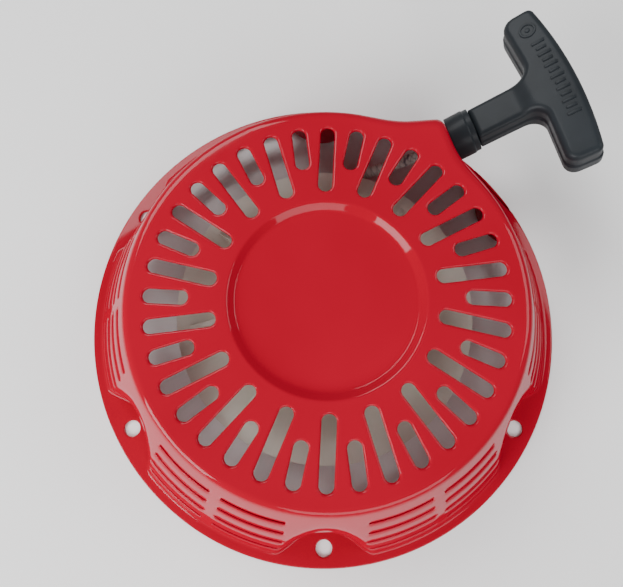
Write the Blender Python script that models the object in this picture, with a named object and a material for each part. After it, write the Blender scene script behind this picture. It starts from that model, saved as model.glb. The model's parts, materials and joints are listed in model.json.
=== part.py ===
"""Recoil starter of a small single-cylinder engine.

The frame: the reel turns about Z, the housing's mounting flange rests on z = 0 with the slotted
face up, and +X runs through a bolt hole on the rope's side. The rope leaves square to the spout's
sloping end, a little off +X and rising from the flange. Every length is in metres.
"""
import math

import bmesh
import bpy
from mathutils import Matrix, Vector

GAP = 0.0003

# Housing: a drawn steel dome with a flange, six bolt pockets and a rope spout.
SHEET = 0.0012
SHEET_ACROSS_WALL = 0.00138
FLANGE_RADIUS = 0.113
FACE_Z = 0.062
FOOT_RADIUS = 0.108
FOOT_Z = 0.002
WALL_SLOPE = 0.034 / 0.060
COLUMN_STEP = 5
RECESS_RADIUS = 0.034
RECESS_EDGE = 0.0025
RECESS_DEPTH = 0.0025
RECESS_OFFSET = 0.0005

BOLT_COUNT = 6
BOLT_CIRCLE = 0.1045
BOLT_HOLE_RADIUS = 0.0037
POCKET_REACH = 0.0955
POCKET_SLOPE = 0.215
POCKET_BEND = 29.0
POCKET_BLEND = 0.006

PULL_TURN = math.radians(-11.5)
PULL_RISE = math.radians(26)
SPOUT_END_REACH = 0.0657
SPOUT_END_SLOPE = math.tan(PULL_RISE)
SPOUT_SIDE_ANGLE = math.radians(64.5)
SPOUT_SIDE_REACH = 0.0672
SPOUT_SIDE_SLOPE = 0.58
SPOUT_LIMIT_RADIUS = 0.1085
SPOUT_LIMIT_SLOPE = 0.05
SPOUT_BLEND = 0.004

FACE_SLOT_COUNT = 36
FACE_SLOT_WIDTH = 0.0054
FACE_SLOT_OUTER = 0.0645
FACE_SLOT_INNER = (0.0436, 0.0532)
FACE_SLOT_TURN = math.radians(3)
FACE_SLOT_OFFSET = 0.00277

LOUVRE_HEIGHTS = (0.0085, 0.0213, 0.0348, 0.0484)
LOUVRE_WIDTH = 0.0027
LOUVRE_START = 1.4
LOUVRE_END = 19.4
LOUVRE_STEPS = 3
SPOUT_SECTOR = 0

# Rope and guide: the guide stands on the spout's end, and the rope leaves along its axis.
ROPE_RADIUS = 0.0025
ROPE_Z = 0.0238
ROPE_WRAP_RADIUS = 0.0568
ROPE_LEVEL_LENGTH = 0.036
GUIDE_Z = 0.0301
GUIDE_RADIUS = 0.0101
GUIDE_NECK_RADIUS = 0.0070
GUIDE_LIP_RADIUS = 0.0077
GUIDE_BORE = 0.0034
GUIDE_START = -0.0060
GUIDE_LIP = -0.0036
GUIDE_END = 0.0107
PULL_HEADING = Vector((math.cos(PULL_TURN), math.sin(PULL_TURN), 0))
PULL_SIDE = Vector((-math.sin(PULL_TURN), math.cos(PULL_TURN), 0))
GUIDE_REACH = SPOUT_END_REACH + (FACE_Z - GUIDE_Z) * SPOUT_END_SLOPE
GUIDE_BASE = PULL_HEADING * GUIDE_REACH + PULL_SIDE * ROPE_WRAP_RADIUS + Vector((0, 0, GUIDE_Z))

# Grip: a T handle, measured from the guide's base along the pull, and turned a little about it.
GRIP_TURN = math.radians(-6)
GRIP_STEM_START = 0.0115
GRIP_STEM_HALF_WIDTH = 0.0081
GRIP_STEM_THICKNESS = 0.0116
GRIP_FILLET = 0.0060
GRIP_INNER = 0.0370
GRIP_INNER_END = 0.0363
GRIP_OUTER = 0.0537
GRIP_OUTER_END = 0.0508
GRIP_HALF_LENGTH = 0.0369
GRIP_CORNER = 0.0050
GRIP_TIGHT_CORNER = 0.0030
GRIP_THICKNESS = 0.0152
GRIP_BEVEL = 0.0022
KNOT_RADIUS = 0.0039
KNOT_POCKET_RADIUS = 0.0048
KNOT_POCKET_START = 0.0405

# Reel, spring and centre post.
POST_RADIUS = 0.008
POST_FOOT_Z = 0.0093
POST_TOP_Z = 0.0579
PLATE_RADIUS = 0.024
PLATE_Z = 0.0559
HUB_TOP_Z = 0.0542
REEL_RIM = 0.064
REEL_REAR_Z = 0.016
REEL_FRONT_Z = 0.0298
RIM_REAR_Z = 0.0178
GROOVE_FLOOR = 0.0388
CUP_INNER = 0.036
CUP_FLOOR_Z = 0.041
CUP_TOP_Z = 0.0545
RIB_COUNT = 8
RIB_THICKNESS = 0.0022
RIB_REACH = 0.058
SPRING_TURNS = 5
SPRING_INNER = 0.0145
SPRING_OUTER = 0.0335
SPRING_STRIP = 0.0009

# Ratchet.
PIVOT_RADIUS = 0.022
PIN_RADIUS = 0.0025
PAWL_Z = (0.0094, 0.0128)
PAWL_LENGTH = 0.017
PEG_REACH = Vector((-0.001, 0.009))
PEG_RADIUS = 0.0014
PAWL_SWING = math.radians(-30)
RATCHET_SWING = math.radians(-25)
RATCHET_RADIUS = 0.030
RATCHET_Z = (0.0066, 0.0086)
RATCHET_BORE = 0.0063
NECK_RADIUS = 0.010
NECK_Z = 0.0047
SCREW_HEAD_RADIUS = 0.0075

FINISHES = {
    "red_paint": ((0.48, 0.006, 0.016), 0.22, 0.0),
    "black_plastic": ((0.028, 0.032, 0.037), 0.45, 0.0),
    "nylon": ((0.62, 0.62, 0.57), 0.5, 0.0),
    "zinc_steel": ((0.6, 0.6, 0.58), 0.35, 1.0),
    "spring_steel": ((0.16, 0.17, 0.19), 0.3, 1.0),
    "rope": ((0.72, 0.71, 0.66), 0.85, 0.0),
}


def clear_scene():
    for old in list(bpy.data.objects):
        bpy.data.objects.remove(old, do_unlink=True)


def material(finish):
    found = bpy.data.materials.get(finish)
    if found:
        return found
    colour, roughness, metallic = FINISHES[finish]
    made = bpy.data.materials.new(finish)
    made.use_nodes = True
    shader = made.node_tree.nodes["Principled BSDF"]
    shader.inputs["Base Color"].default_value = (*colour, 1.0)
    shader.inputs["Roughness"].default_value = roughness
    shader.inputs["Metallic"].default_value = metallic
    return made


def solid(name, bm, finish="zinc_steel", at=(0, 0, 0)):
    """Put a closed bmesh in the scene, its faces pointing out and its round sides smooth."""
    bmesh.ops.recalc_face_normals(bm, faces=bm.faces)
    mesh = bpy.data.meshes.new(name)
    bm.to_mesh(mesh)
    bm.free()
    mesh.materials.append(material(finish))
    mesh.shade_smooth()
    mesh.set_sharp_from_angle(angle=math.radians(35))
    made = bpy.data.objects.new(name, mesh)
    made.location = at
    bpy.context.collection.objects.link(made)
    return made


def combine(target, tool, operation):
    """Cut a tool out of a piece, or join it on, and leave the tool out of the model."""
    tool.hide_render = True
    tool.display_type = "WIRE"
    tool.hide_set(True)
    step = target.modifiers.new(f"{operation.lower()} {tool.name}", "BOOLEAN")
    step.operation = operation
    step.solver = "EXACT"
    step.object = tool


def add_loft(bm, sections, closed=False):
    """Skin a row of equal rings of points, with a cap on each end of an open row."""
    rings = [[bm.verts.new(point) for point in section] for section in sections]
    count = len(rings[0])
    pairs = list(zip(rings, rings[1:]))
    if closed:
        pairs.append((rings[-1], rings[0]))
    for low, high in pairs:
        for i in range(count):
            j = (i + 1) % count
            bm.faces.new((low[i], low[j], high[j], high[i]))
    if not closed:
        bm.faces.new(rings[0])
        bm.faces.new(rings[-1])


def add_prism(bm, outline, low, high):
    add_loft(bm, [[(x, y, z) for x, y in outline] for z in (low, high)])


def loft(sections, closed=False):
    bm = bmesh.new()
    add_loft(bm, sections, closed)
    return bm


def turned(profile, segments):
    """Turn a closed outline of (radius, z) points, clear of the axis, about Z."""
    sections = []
    for i in range(segments):
        turn = 2 * math.pi * i / segments
        sections.append([(r * math.cos(turn), r * math.sin(turn), z) for r, z in profile])
    return loft(sections, closed=True)


def disc_stack(profile, segments):
    """Stack rings of (radius, z) with a flat cap at each end, for a piece with no bore."""
    return loft([[(r * math.cos(2 * math.pi * i / segments), r * math.sin(2 * math.pi * i / segments), z)
                  for i in range(segments)] for r, z in profile])


def circle(radius, segments, centre=(0.0, 0.0), start=0.0, sweep=2 * math.pi):
    """Points of a circle, or of an arc with both ends where sweep is less than a turn."""
    whole = abs(sweep) > 2 * math.pi - 1e-6
    steps = segments if whole else segments - 1
    return [(centre[0] + radius * math.cos(start + sweep * i / steps),
             centre[1] + radius * math.sin(start + sweep * i / steps)) for i in range(segments)]


def pull_frame(roll=0.0):
    """The placement whose +X runs from the guide's base along the pull."""
    turn = Matrix.Rotation(PULL_TURN, 4, "Z") @ Matrix.Rotation(-PULL_RISE, 4, "Y")
    return Matrix.Translation(GUIDE_BASE) @ turn @ Matrix.Rotation(roll, 4, "X")


def onto_pull(bm):
    """Lay a piece made about Z along the pull, with its heights as distances from the guide's base."""
    bmesh.ops.transform(bm, matrix=pull_frame() @ Matrix.Rotation(math.radians(90), 4, "Y"), verts=bm.verts)
    return bm


def soft_min(a, b, blend):
    """The lesser of two lengths, with a round corner where they meet."""
    share = min(1.0, max(0.0, 0.5 + 0.5 * (b - a) / blend))
    return b * (1 - share) + a * share - blend * share * (1 - share)


def soft_max(a, b, blend):
    return -soft_min(-a, -b, blend)


def spout_radius(angle, z):
    """Distance from the axis to the two flat walls that meet at the spout's corner."""
    drop = FACE_Z - z
    reaches = []
    for normal, reach, slope in ((PULL_TURN, SPOUT_END_REACH, SPOUT_END_SLOPE),
                                 (SPOUT_SIDE_ANGLE, SPOUT_SIDE_REACH, SPOUT_SIDE_SLOPE)):
        facing = max(0.2, math.cos(angle - normal))
        reaches.append((reach + drop * slope) / facing)
    corner = soft_min(reaches[0], reaches[1], SPOUT_BLEND)
    limit = SPOUT_LIMIT_RADIUS - (z - FOOT_Z) * SPOUT_LIMIT_SLOPE
    return soft_min(corner, limit, SPOUT_BLEND)


def pocket_radius(angle, z):
    """Distance from the axis to the curved back wall of the nearest bolt pocket."""
    sector = 2 * math.pi / BOLT_COUNT
    offset = angle - round(angle / sector) * sector
    reach = POCKET_REACH - z * POCKET_SLOPE
    bend = POCKET_BEND * math.sin(offset) ** 2
    if bend < 1e-6:
        return reach / math.cos(offset)
    under_root = math.cos(offset) ** 2 - 4 * bend * reach
    if under_root <= 0:
        return math.inf
    return (math.cos(offset) - math.sqrt(under_root)) / (2 * bend)


def wall_radius(angle, z):
    """Distance from the axis to the outside of the housing's wall."""
    radius = FOOT_RADIUS - (z - FOOT_Z) * WALL_SLOPE
    if math.radians(-25) < angle < math.radians(85):
        radius = soft_max(radius, spout_radius(angle, z), SPOUT_BLEND)
    pocket = pocket_radius(angle, z)
    if pocket < radius + POCKET_BLEND:
        radius = soft_min(radius, pocket, POCKET_BLEND)
    return radius


def dome(inset, top_drop, foot):
    """The housing's dome as a solid, drawn in by a wall thickness; foot lists its lowest rings."""
    wall_heights = (0.0594, 0.047, 0.036, 0.025, 0.014, 0.0035)
    columns = [math.radians(step) for step in range(0, 360, COLUMN_STEP)]

    def ring(reach, z):
        points = []
        for column in columns:
            signed = math.remainder(column, 2 * math.pi)
            radius = reach(signed)
            points.append((radius * math.cos(column), radius * math.sin(column), z))
        return points

    top = FACE_Z - top_drop
    recess = RECESS_RADIUS + (RECESS_OFFSET if inset else 0)
    rings = [ring(lambda a: recess, top - RECESS_DEPTH),
             ring(lambda a: recess + RECESS_EDGE, top),
             ring(lambda a: wall_radius(a, FACE_Z) - inset - 0.0022, top),
             ring(lambda a: wall_radius(a, FACE_Z - 0.0007) - inset - 0.0005, top - 0.0007)]
    for height in wall_heights:
        rings.append(ring(lambda a, h=height: wall_radius(a, h) - inset, height))
    for spread, z in foot:
        if spread is None:
            rings.append(ring(lambda a: FLANGE_RADIUS, z))
        else:
            rings.append(ring(lambda a, s=spread: wall_radius(a, FOOT_Z) - inset + s, z))
    return loft(rings)


def face_slots():
    """The skewed slots of the face, a long one and a short one in turn."""
    bm = bmesh.new()
    half = FACE_SLOT_WIDTH / 2
    for i in range(FACE_SLOT_COUNT):
        inner = FACE_SLOT_INNER[i % 2]
        turn = 2 * math.pi * i / FACE_SLOT_COUNT - FACE_SLOT_TURN
        outline = circle(half, 4, (FACE_SLOT_OUTER, FACE_SLOT_OFFSET), -math.pi / 2, math.pi)
        outline += circle(half, 4, (inner, FACE_SLOT_OFFSET), math.pi / 2, math.pi)
        cos, sin = math.cos(turn), math.sin(turn)
        outline = [(x * cos - y * sin, x * sin + y * cos) for x, y in outline]
        add_prism(bm, outline, FACE_Z - 0.006, FACE_Z + 0.006)
    return bm


def side_louvres():
    """Four rows of slots square to the sloping wall, in two groups between bolt pockets."""
    bm = bmesh.new()
    tilt = math.atan(WALL_SLOPE)
    out = Vector((math.cos(tilt), math.sin(tilt)))
    along = Vector((-math.sin(tilt), math.cos(tilt)))
    sector = 360 / BOLT_COUNT
    for i in range(BOLT_COUNT):
        if i == SPOUT_SECTOR:
            continue
        for side in (-1, 1):
            middle = (i + 0.5) * sector
            for z in LOUVRE_HEIGHTS:
                centre = Vector((FOOT_RADIUS - (z - FOOT_Z) * WALL_SLOPE, z))
                corners = [centre + out * a * 0.008 + along * b * LOUVRE_WIDTH / 2
                           for a, b in ((-1, -1), (1, -1), (1, 1), (-1, 1))]
                sections = []
                for step in range(LOUVRE_STEPS + 1):
                    share = step / LOUVRE_STEPS
                    offset = LOUVRE_START + (LOUVRE_END - LOUVRE_START) * share
                    turn = math.radians(middle + side * offset)
                    sections.append([(r * math.cos(turn), r * math.sin(turn), h) for r, h in corners])
                add_loft(bm, sections)
    return bm


def make_housing():
    edge = SHEET / 2
    housing = solid("housing", dome(0, 0, ((0.0004, 0.002), (0.0018, SHEET), (None, SHEET), (None, 0))),
                    "red_paint")
    hollow = solid("hollow", dome(SHEET_ACROSS_WALL, SHEET, ((0.0004, 0.0012), (0.0004, -edge))))
    combine(housing, hollow, "DIFFERENCE")
    combine(housing, solid("face slots", face_slots()), "DIFFERENCE")
    combine(housing, solid("side louvres", side_louvres()), "DIFFERENCE")
    holes = bmesh.new()
    for i in range(BOLT_COUNT):
        turn = 2 * math.pi * i / BOLT_COUNT
        centre = (BOLT_CIRCLE * math.cos(turn), BOLT_CIRCLE * math.sin(turn))
        add_prism(holes, circle(BOLT_HOLE_RADIUS, 12, centre), -0.002, 0.004)
    combine(housing, solid("bolt holes", holes), "DIFFERENCE")
    neck, seat = GUIDE_NECK_RADIUS + GAP, GUIDE_RADIUS + GAP
    opening = onto_pull(disc_stack(((neck, -0.008), (neck, 0), (seat, 0), (seat, 0.006)), 20))
    combine(housing, solid("guide opening", opening), "DIFFERENCE")


def make_post():
    """The plate welded under the face, the post riveted to it and the washer that the reel meets."""
    inner = POST_RADIUS + GAP
    plate = solid("post_plate", turned(((inner, PLATE_Z), (PLATE_RADIUS, PLATE_Z),
                                        (PLATE_RADIUS, POST_TOP_Z), (inner, POST_TOP_Z)), 32))
    finger = bmesh.new()
    arc = circle(0.0131, 4, start=math.radians(-16), sweep=math.radians(32))
    arc += circle(0.0113, 4, start=math.radians(16), sweep=math.radians(-32))
    add_prism(finger, arc, 0.044, PLATE_Z + 0.001)
    combine(plate, solid("spring anchor", finger), "UNION")
    post = solid("centre_post", disc_stack(((POST_RADIUS - 0.0005, POST_FOOT_Z),
                                            (POST_RADIUS, POST_FOOT_Z + 0.0005),
                                            (POST_RADIUS, POST_TOP_Z)), 24))
    bore = disc_stack(((0.0043, POST_FOOT_Z - 0.002), (0.0043, 0.0235)), 16)
    combine(post, solid("thread bore", bore), "DIFFERENCE")
    low, high = HUB_TOP_Z + GAP, PLATE_Z - GAP
    solid("thrust_washer", turned(((inner, low), (0.0105, low), (0.0105, high), (inner, high)), 24))


def make_spring():
    """The flat spiral that rewinds the rope, from the anchor out to the reel's cup."""
    steps = SPRING_TURNS * 16
    low, high = 0.0425, 0.0535
    sections = []
    for i in range(steps + 1):
        share = i / steps
        turn = share * SPRING_TURNS * 2 * math.pi
        radius = SPRING_INNER + (SPRING_OUTER - SPRING_INNER) * share
        section = []
        for r, z in ((radius, low), (radius + SPRING_STRIP, low), (radius + SPRING_STRIP, high), (radius, high)):
            section.append((r * math.cos(turn), r * math.sin(turn), z))
        sections.append(section)
    solid("starter_spring", loft(sections), "spring_steel")


def make_reel():
    """The rope's groove, the spring's cup, the hub, its ribs and the two pawl pins in one moulding."""
    hub_bore = POST_RADIUS + GAP
    profile = ((hub_bore, REEL_REAR_Z), (hub_bore, HUB_TOP_Z), (0.0106, HUB_TOP_Z),
               (0.0108, CUP_FLOOR_Z), (CUP_INNER, CUP_FLOOR_Z), (CUP_INNER, CUP_TOP_Z),
               (GROOVE_FLOOR, CUP_TOP_Z), (GROOVE_FLOOR, REEL_FRONT_Z), (REEL_RIM, REEL_FRONT_Z),
               (REEL_RIM, 0.0276), (GROOVE_FLOOR, 0.0272), (GROOVE_FLOOR, 0.0204),
               (REEL_RIM, 0.0200), (REEL_RIM, RIM_REAR_Z), (GROOVE_FLOOR, RIM_REAR_Z),
               (GROOVE_FLOOR, REEL_REAR_Z), (0.0363, REEL_REAR_Z),
               (0.0363, 0.0385), (0.0295, 0.0385), (0.0295, REEL_REAR_Z))
    reel = solid("reel", turned(profile, 40), "nylon")
    extras = bmesh.new()
    for i in range(RIB_COUNT):
        turn = Matrix.Rotation(2 * math.pi * (i + 0.5) / RIB_COUNT, 3, "Z")
        side = ((GROOVE_FLOOR - 0.001, REEL_FRONT_Z - 0.001), (RIB_REACH, REEL_FRONT_Z - 0.001),
                (RIB_REACH, REEL_FRONT_Z + 0.001), (GROOVE_FLOOR - 0.001, 0.044))
        add_loft(extras, [[turn @ Vector((r, y, z)) for r, z in side]
                          for y in (-RIB_THICKNESS / 2, RIB_THICKNESS / 2)])
    for x in (-PIVOT_RADIUS, PIVOT_RADIUS):
        add_prism(extras, circle(PIN_RADIUS, 12, (x, 0)), PAWL_Z[0] - 0.0002, REEL_REAR_Z + 0.002)
    combine(reel, solid("ribs and pins", extras), "UNION")


def rope_point(distance):
    """The rope's middle line, by distance in plan from where it leaves the winding."""
    mouth = GUIDE_REACH + GUIDE_START * math.cos(PULL_RISE)
    mouth_z = GUIDE_Z + GUIDE_START * math.sin(PULL_RISE)
    slope = math.tan(PULL_RISE)
    if distance <= ROPE_LEVEL_LENGTH:
        z = ROPE_Z
    elif distance >= mouth:
        z = mouth_z + (distance - mouth) * slope
    else:
        span = mouth - ROPE_LEVEL_LENGTH
        u = (distance - ROPE_LEVEL_LENGTH) / span
        z = ROPE_Z + (mouth_z - ROPE_Z) * (3 * u**2 - 2 * u**3) + slope * span * (u**3 - u**2)
    return PULL_HEADING * distance + PULL_SIDE * ROPE_WRAP_RADIUS + Vector((0, 0, z))


def make_rope():
    """The turns on the reel, the run to the grip, and a knot at each end."""
    section = ((0.0392, 0.0208), (0.0582, 0.0207), (0.0592, 0.0218),
               (0.0592, 0.0258), (0.0582, 0.0269), (0.0392, 0.0268))
    solid("rope_winding", turned(section, 40), "rope")
    first = 0.027
    last = GUIDE_REACH + (KNOT_POCKET_START + 0.0024) * math.cos(PULL_RISE)
    points = [rope_point(first + (last - first) * i / 17) for i in range(18)]
    spline_curve = bpy.data.curves.new("rope_run", "CURVE")
    spline_curve.dimensions = "3D"
    spline_curve.bevel_depth = ROPE_RADIUS
    spline_curve.bevel_resolution = 2
    spline_curve.use_fill_caps = True
    spline = spline_curve.splines.new("POLY")
    spline.points.add(len(points) - 1)
    for spline_point, place in zip(spline.points, points):
        spline_point.co = (*place, 1)
    spline_curve.materials.append(material("rope"))
    run = bpy.data.objects.new("rope_run", spline_curve)
    bpy.context.collection.objects.link(run)
    grip_knot = pull_frame() @ Vector((KNOT_POCKET_START + 0.0070, 0, 0))
    reel_knot = Vector((0, -0.045, RIM_REAR_Z - 0.0034))
    for name, radius, place in (("rope_knot_reel", 0.0030, reel_knot),
                                ("rope_knot_grip", KNOT_RADIUS, grip_knot)):
        bm = bmesh.new()
        bmesh.ops.create_uvsphere(bm, u_segments=12, v_segments=8, radius=radius)
        solid(name, bm, "rope", place)


def make_guide():
    """The black bush on the spout's end: a collar outside, a neck through the wall and a lip inside."""
    bell = 0.002
    chamfer = 0.0010
    profile = ((GUIDE_BORE + bell, GUIDE_START), (GUIDE_LIP_RADIUS, GUIDE_START), (GUIDE_LIP_RADIUS, GUIDE_LIP),
               (GUIDE_NECK_RADIUS, GUIDE_LIP), (GUIDE_NECK_RADIUS, GAP), (GUIDE_RADIUS, GAP),
               (GUIDE_RADIUS, GUIDE_END - chamfer), (GUIDE_RADIUS - chamfer, GUIDE_END),
               (GUIDE_BORE + bell, GUIDE_END), (GUIDE_BORE, GUIDE_END - bell), (GUIDE_BORE, GUIDE_START + bell))
    solid("rope_guide", onto_pull(turned(profile, 24)), "black_plastic")


def bevelled_prism(outline, thickness):
    """A flat piece about the plane z = 0 whose rims are bevelled, laid at the grip's place."""
    bm = bmesh.new()
    add_prism(bm, outline, -thickness / 2, thickness / 2)
    bmesh.ops.recalc_face_normals(bm, faces=bm.faces)
    rims = [edge for edge in bm.edges if abs(edge.verts[0].co.z - edge.verts[1].co.z) < 1e-6]
    bmesh.ops.bevel(bm, geom=rims, offset=GRIP_BEVEL, segments=2, affect="EDGES", profile=0.5, material=-1)
    bmesh.ops.transform(bm, matrix=pull_frame(GRIP_TURN), verts=bm.verts)
    return bm


def mirrored_outline(half):
    return half + [(x, -y) for x, y in reversed(half)]


def bar_outline():
    """The bar's outline: rounded ends, a straight inner edge and a bowed back."""
    corner, tight = GRIP_CORNER, GRIP_TIGHT_CORNER
    half = [(GRIP_INNER, GRIP_STEM_HALF_WIDTH)]
    half += circle(corner, 5, (GRIP_INNER_END + corner, GRIP_HALF_LENGTH - corner), math.pi, -math.pi / 2)
    half += circle(tight, 4, (GRIP_OUTER_END - tight, GRIP_HALF_LENGTH - tight), math.pi / 2, -math.pi / 2)
    bow = GRIP_OUTER - GRIP_OUTER_END
    straight = GRIP_HALF_LENGTH - tight
    half += [(GRIP_OUTER_END + bow * (1 - share ** 2), straight * share) for share in (0.7, 0.4, 0.1)]
    return mirrored_outline(half)


def stem_outline():
    """The stem's outline: straight sides that spread into the bar."""
    spread = GRIP_STEM_HALF_WIDTH + GRIP_FILLET
    reach = GRIP_INNER + 0.0008
    half = [(GRIP_STEM_START, GRIP_STEM_HALF_WIDTH)]
    half += circle(GRIP_FILLET, 5, (reach - GRIP_FILLET, spread), -math.pi / 2, math.pi / 2)
    return mirrored_outline(half + [(reach + 0.006, spread)])


def make_grip():
    """The T handle with its rope bore, the washer in its pocket and the turn that it hangs at."""
    grip = solid("grip", bevelled_prism(bar_outline(), GRIP_THICKNESS), "black_plastic")
    combine(grip, solid("stem", bevelled_prism(stem_outline(), GRIP_STEM_THICKNESS)), "UNION")
    bore = ((0.0030, 0.005), (0.0030, KNOT_POCKET_START + 0.001))
    combine(grip, solid("rope bore", onto_pull(disc_stack(bore, 12))), "DIFFERENCE")
    pocket = ((KNOT_POCKET_RADIUS, KNOT_POCKET_START), (KNOT_POCKET_RADIUS, 0.065))
    combine(grip, solid("knot pocket", onto_pull(disc_stack(pocket, 16))), "DIFFERENCE")
    low, high = KNOT_POCKET_START + GAP, KNOT_POCKET_START + 0.0018
    washer = turned(((0.0029, low), (0.0044, low), (0.0044, high), (0.0029, high)), 16)
    solid("grip_washer", onto_pull(washer))


def pawl_outline():
    """A pawl about its own pin: a round boss and an arm that ends in a slanted tooth."""
    arm = 0.0031
    outline = circle(0.0048, 9, start=math.radians(140), sweep=math.radians(260))
    return outline + [(arm, 0.010), (0.0036, PAWL_LENGTH), (-0.0012, PAWL_LENGTH - 0.0012), (-arm, 0.009)]


def make_pawls():
    for name, turn in (("a", 0.0), ("b", math.pi)):
        rotation = Matrix.Rotation(turn, 4, "Z")
        centre = rotation @ Vector((PIVOT_RADIUS, 0, 0))
        bm = bmesh.new()
        add_prism(bm, pawl_outline(), *PAWL_Z)
        bmesh.ops.rotate(bm, verts=bm.verts, matrix=rotation.to_3x3())
        pawl = solid(f"pawl_{name}", bm, at=centre)
        hole = solid(f"pin hole {name}", disc_stack(((PIN_RADIUS + GAP, 0.006), (PIN_RADIUS + GAP, 0.016)), 12),
                     at=centre)
        combine(pawl, hole, "DIFFERENCE")
        peg = bmesh.new()
        add_prism(peg, circle(PEG_RADIUS, 8, PEG_REACH), RATCHET_Z[0] + GAP, PAWL_Z[0] + 0.001)
        bmesh.ops.rotate(peg, verts=peg.verts, matrix=rotation.to_3x3())
        combine(pawl, solid(f"peg {name}", peg, at=centre), "UNION")
        low, high = PAWL_Z[1] + GAP, REEL_REAR_Z - GAP
        inner = PIN_RADIUS + 0.0004
        coil = turned(((inner, low), (inner + 0.0013, low), (inner + 0.0013, high), (inner, high)), 16)
        solid(f"pawl_spring_{name}", coil, "spring_steel", centre)


def peg_path():
    """The line that a pawl's peg follows in the turning ratchet guide."""
    points = []
    for i in range(6):
        share = i / 5
        peg = Matrix.Rotation(PAWL_SWING * share, 2) @ PEG_REACH + Vector((PIVOT_RADIUS, 0))
        points.append(Matrix.Rotation(-RATCHET_SWING * share, 2) @ peg)
    return points


def track_outline(path, half_width):
    """A slot of even width with round ends along a path."""
    headings = [(b - a).normalized() for a, b in zip(path, path[1:])]
    headings.append(headings[-1])
    left = [p + Vector((-h.y, h.x)) * half_width for p, h in zip(path, headings)]
    right = [p + Vector((h.y, -h.x)) * half_width for p, h in zip(path, headings)]
    first = math.atan2(headings[0].y, headings[0].x)
    last = math.atan2(headings[-1].y, headings[-1].x)
    start_cap = circle(half_width, 5, path[0], first - math.pi / 2, -math.pi)[1:-1]
    end_cap = circle(half_width, 5, path[-1], last + math.pi / 2, -math.pi)[1:-1]
    return left + [Vector(p) for p in end_cap] + right[::-1] + [Vector(p) for p in start_cap]


def make_ratchet():
    """The slotted guide that throws the pawls, its drag spring and the screw that holds them."""
    guide = solid("ratchet_guide", turned(((RATCHET_BORE, NECK_Z), (NECK_RADIUS, NECK_Z),
                                           (NECK_RADIUS, RATCHET_Z[0]), (RATCHET_RADIUS, RATCHET_Z[0]),
                                           (RATCHET_RADIUS, RATCHET_Z[1]), (RATCHET_BORE, RATCHET_Z[1])), 36))
    tracks = bmesh.new()
    outline = track_outline(peg_path(), PEG_RADIUS + 0.0005)
    for sign in (1, -1):
        add_prism(tracks, [(sign * p.x, sign * p.y) for p in outline], 0.005, 0.0095)
    combine(guide, solid("peg tracks", tracks), "DIFFERENCE")

    sections = []
    low, high = NECK_Z + 0.0002, RATCHET_Z[0] - GAP
    for i in range(25):
        turn = math.radians(15 + 330 * i / 24)
        sections.append([(r * math.cos(turn), r * math.sin(turn), z)
                         for r, z in ((0.0104, low), (0.0117, low), (0.0117, high), (0.0104, high))])
    solid("friction_spring", loft(sections), "spring_steel")

    head_z = 0.0014
    shoulder_z = NECK_Z - GAP
    screw = disc_stack(((SCREW_HEAD_RADIUS, head_z), (SCREW_HEAD_RADIUS, shoulder_z),
                        (RATCHET_BORE - GAP, shoulder_z), (RATCHET_BORE - GAP, POST_FOOT_Z - GAP),
                        (0.0040, POST_FOOT_Z - GAP), (0.0040, 0.0225)), 24)
    screw = solid("setting_screw", screw)
    recess = solid("cross recess", disc_stack(((0.0030, head_z - 0.001), (0.0022, head_z + 0.0016)), 6))
    combine(screw, recess, "DIFFERENCE")


def main():
    clear_scene()
    make_housing()
    make_post()
    make_spring()
    make_reel()
    make_rope()
    make_guide()
    make_grip()
    make_pawls()
    make_ratchet()


main()
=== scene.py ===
"""Looks of a small engine's recoil starter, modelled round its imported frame.

The reel turns about Z, the flange lies on z = 0, and the rope leaves along the handle_pull joint.
Every length is in metres. Each sub-assembly is a class that models its pieces and dresses them.
"""
import json
import logging
import math
from collections.abc import Callable, Iterable, Sequence
from dataclasses import dataclass, field
from enum import Enum
from typing import Any

import bmesh
import bpy
from bmesh.types import BMEdge, BMesh, BMFace, BMVert
from mathutils import Euler, Matrix, Vector


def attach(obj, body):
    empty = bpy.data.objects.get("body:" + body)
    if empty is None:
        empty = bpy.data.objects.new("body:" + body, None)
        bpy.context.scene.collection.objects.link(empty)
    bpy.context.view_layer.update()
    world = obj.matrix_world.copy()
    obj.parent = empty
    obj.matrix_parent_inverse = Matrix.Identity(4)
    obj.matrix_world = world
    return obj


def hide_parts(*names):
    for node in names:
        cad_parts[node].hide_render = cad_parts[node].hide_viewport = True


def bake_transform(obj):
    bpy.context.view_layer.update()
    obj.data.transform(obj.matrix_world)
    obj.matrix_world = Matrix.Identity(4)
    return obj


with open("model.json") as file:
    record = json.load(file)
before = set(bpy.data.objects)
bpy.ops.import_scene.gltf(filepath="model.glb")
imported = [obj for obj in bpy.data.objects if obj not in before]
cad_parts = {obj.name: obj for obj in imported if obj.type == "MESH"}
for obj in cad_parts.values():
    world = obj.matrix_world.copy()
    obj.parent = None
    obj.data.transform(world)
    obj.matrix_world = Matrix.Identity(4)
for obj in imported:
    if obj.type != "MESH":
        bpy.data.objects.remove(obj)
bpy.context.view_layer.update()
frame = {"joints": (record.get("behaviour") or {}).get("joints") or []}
LOG = logging.getLogger("recoil_starter")

MM = 0.001
TURN = 2 * math.pi
Point2 = tuple[float, float]


# ---------------------------------------------------------------- shader maths

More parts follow.
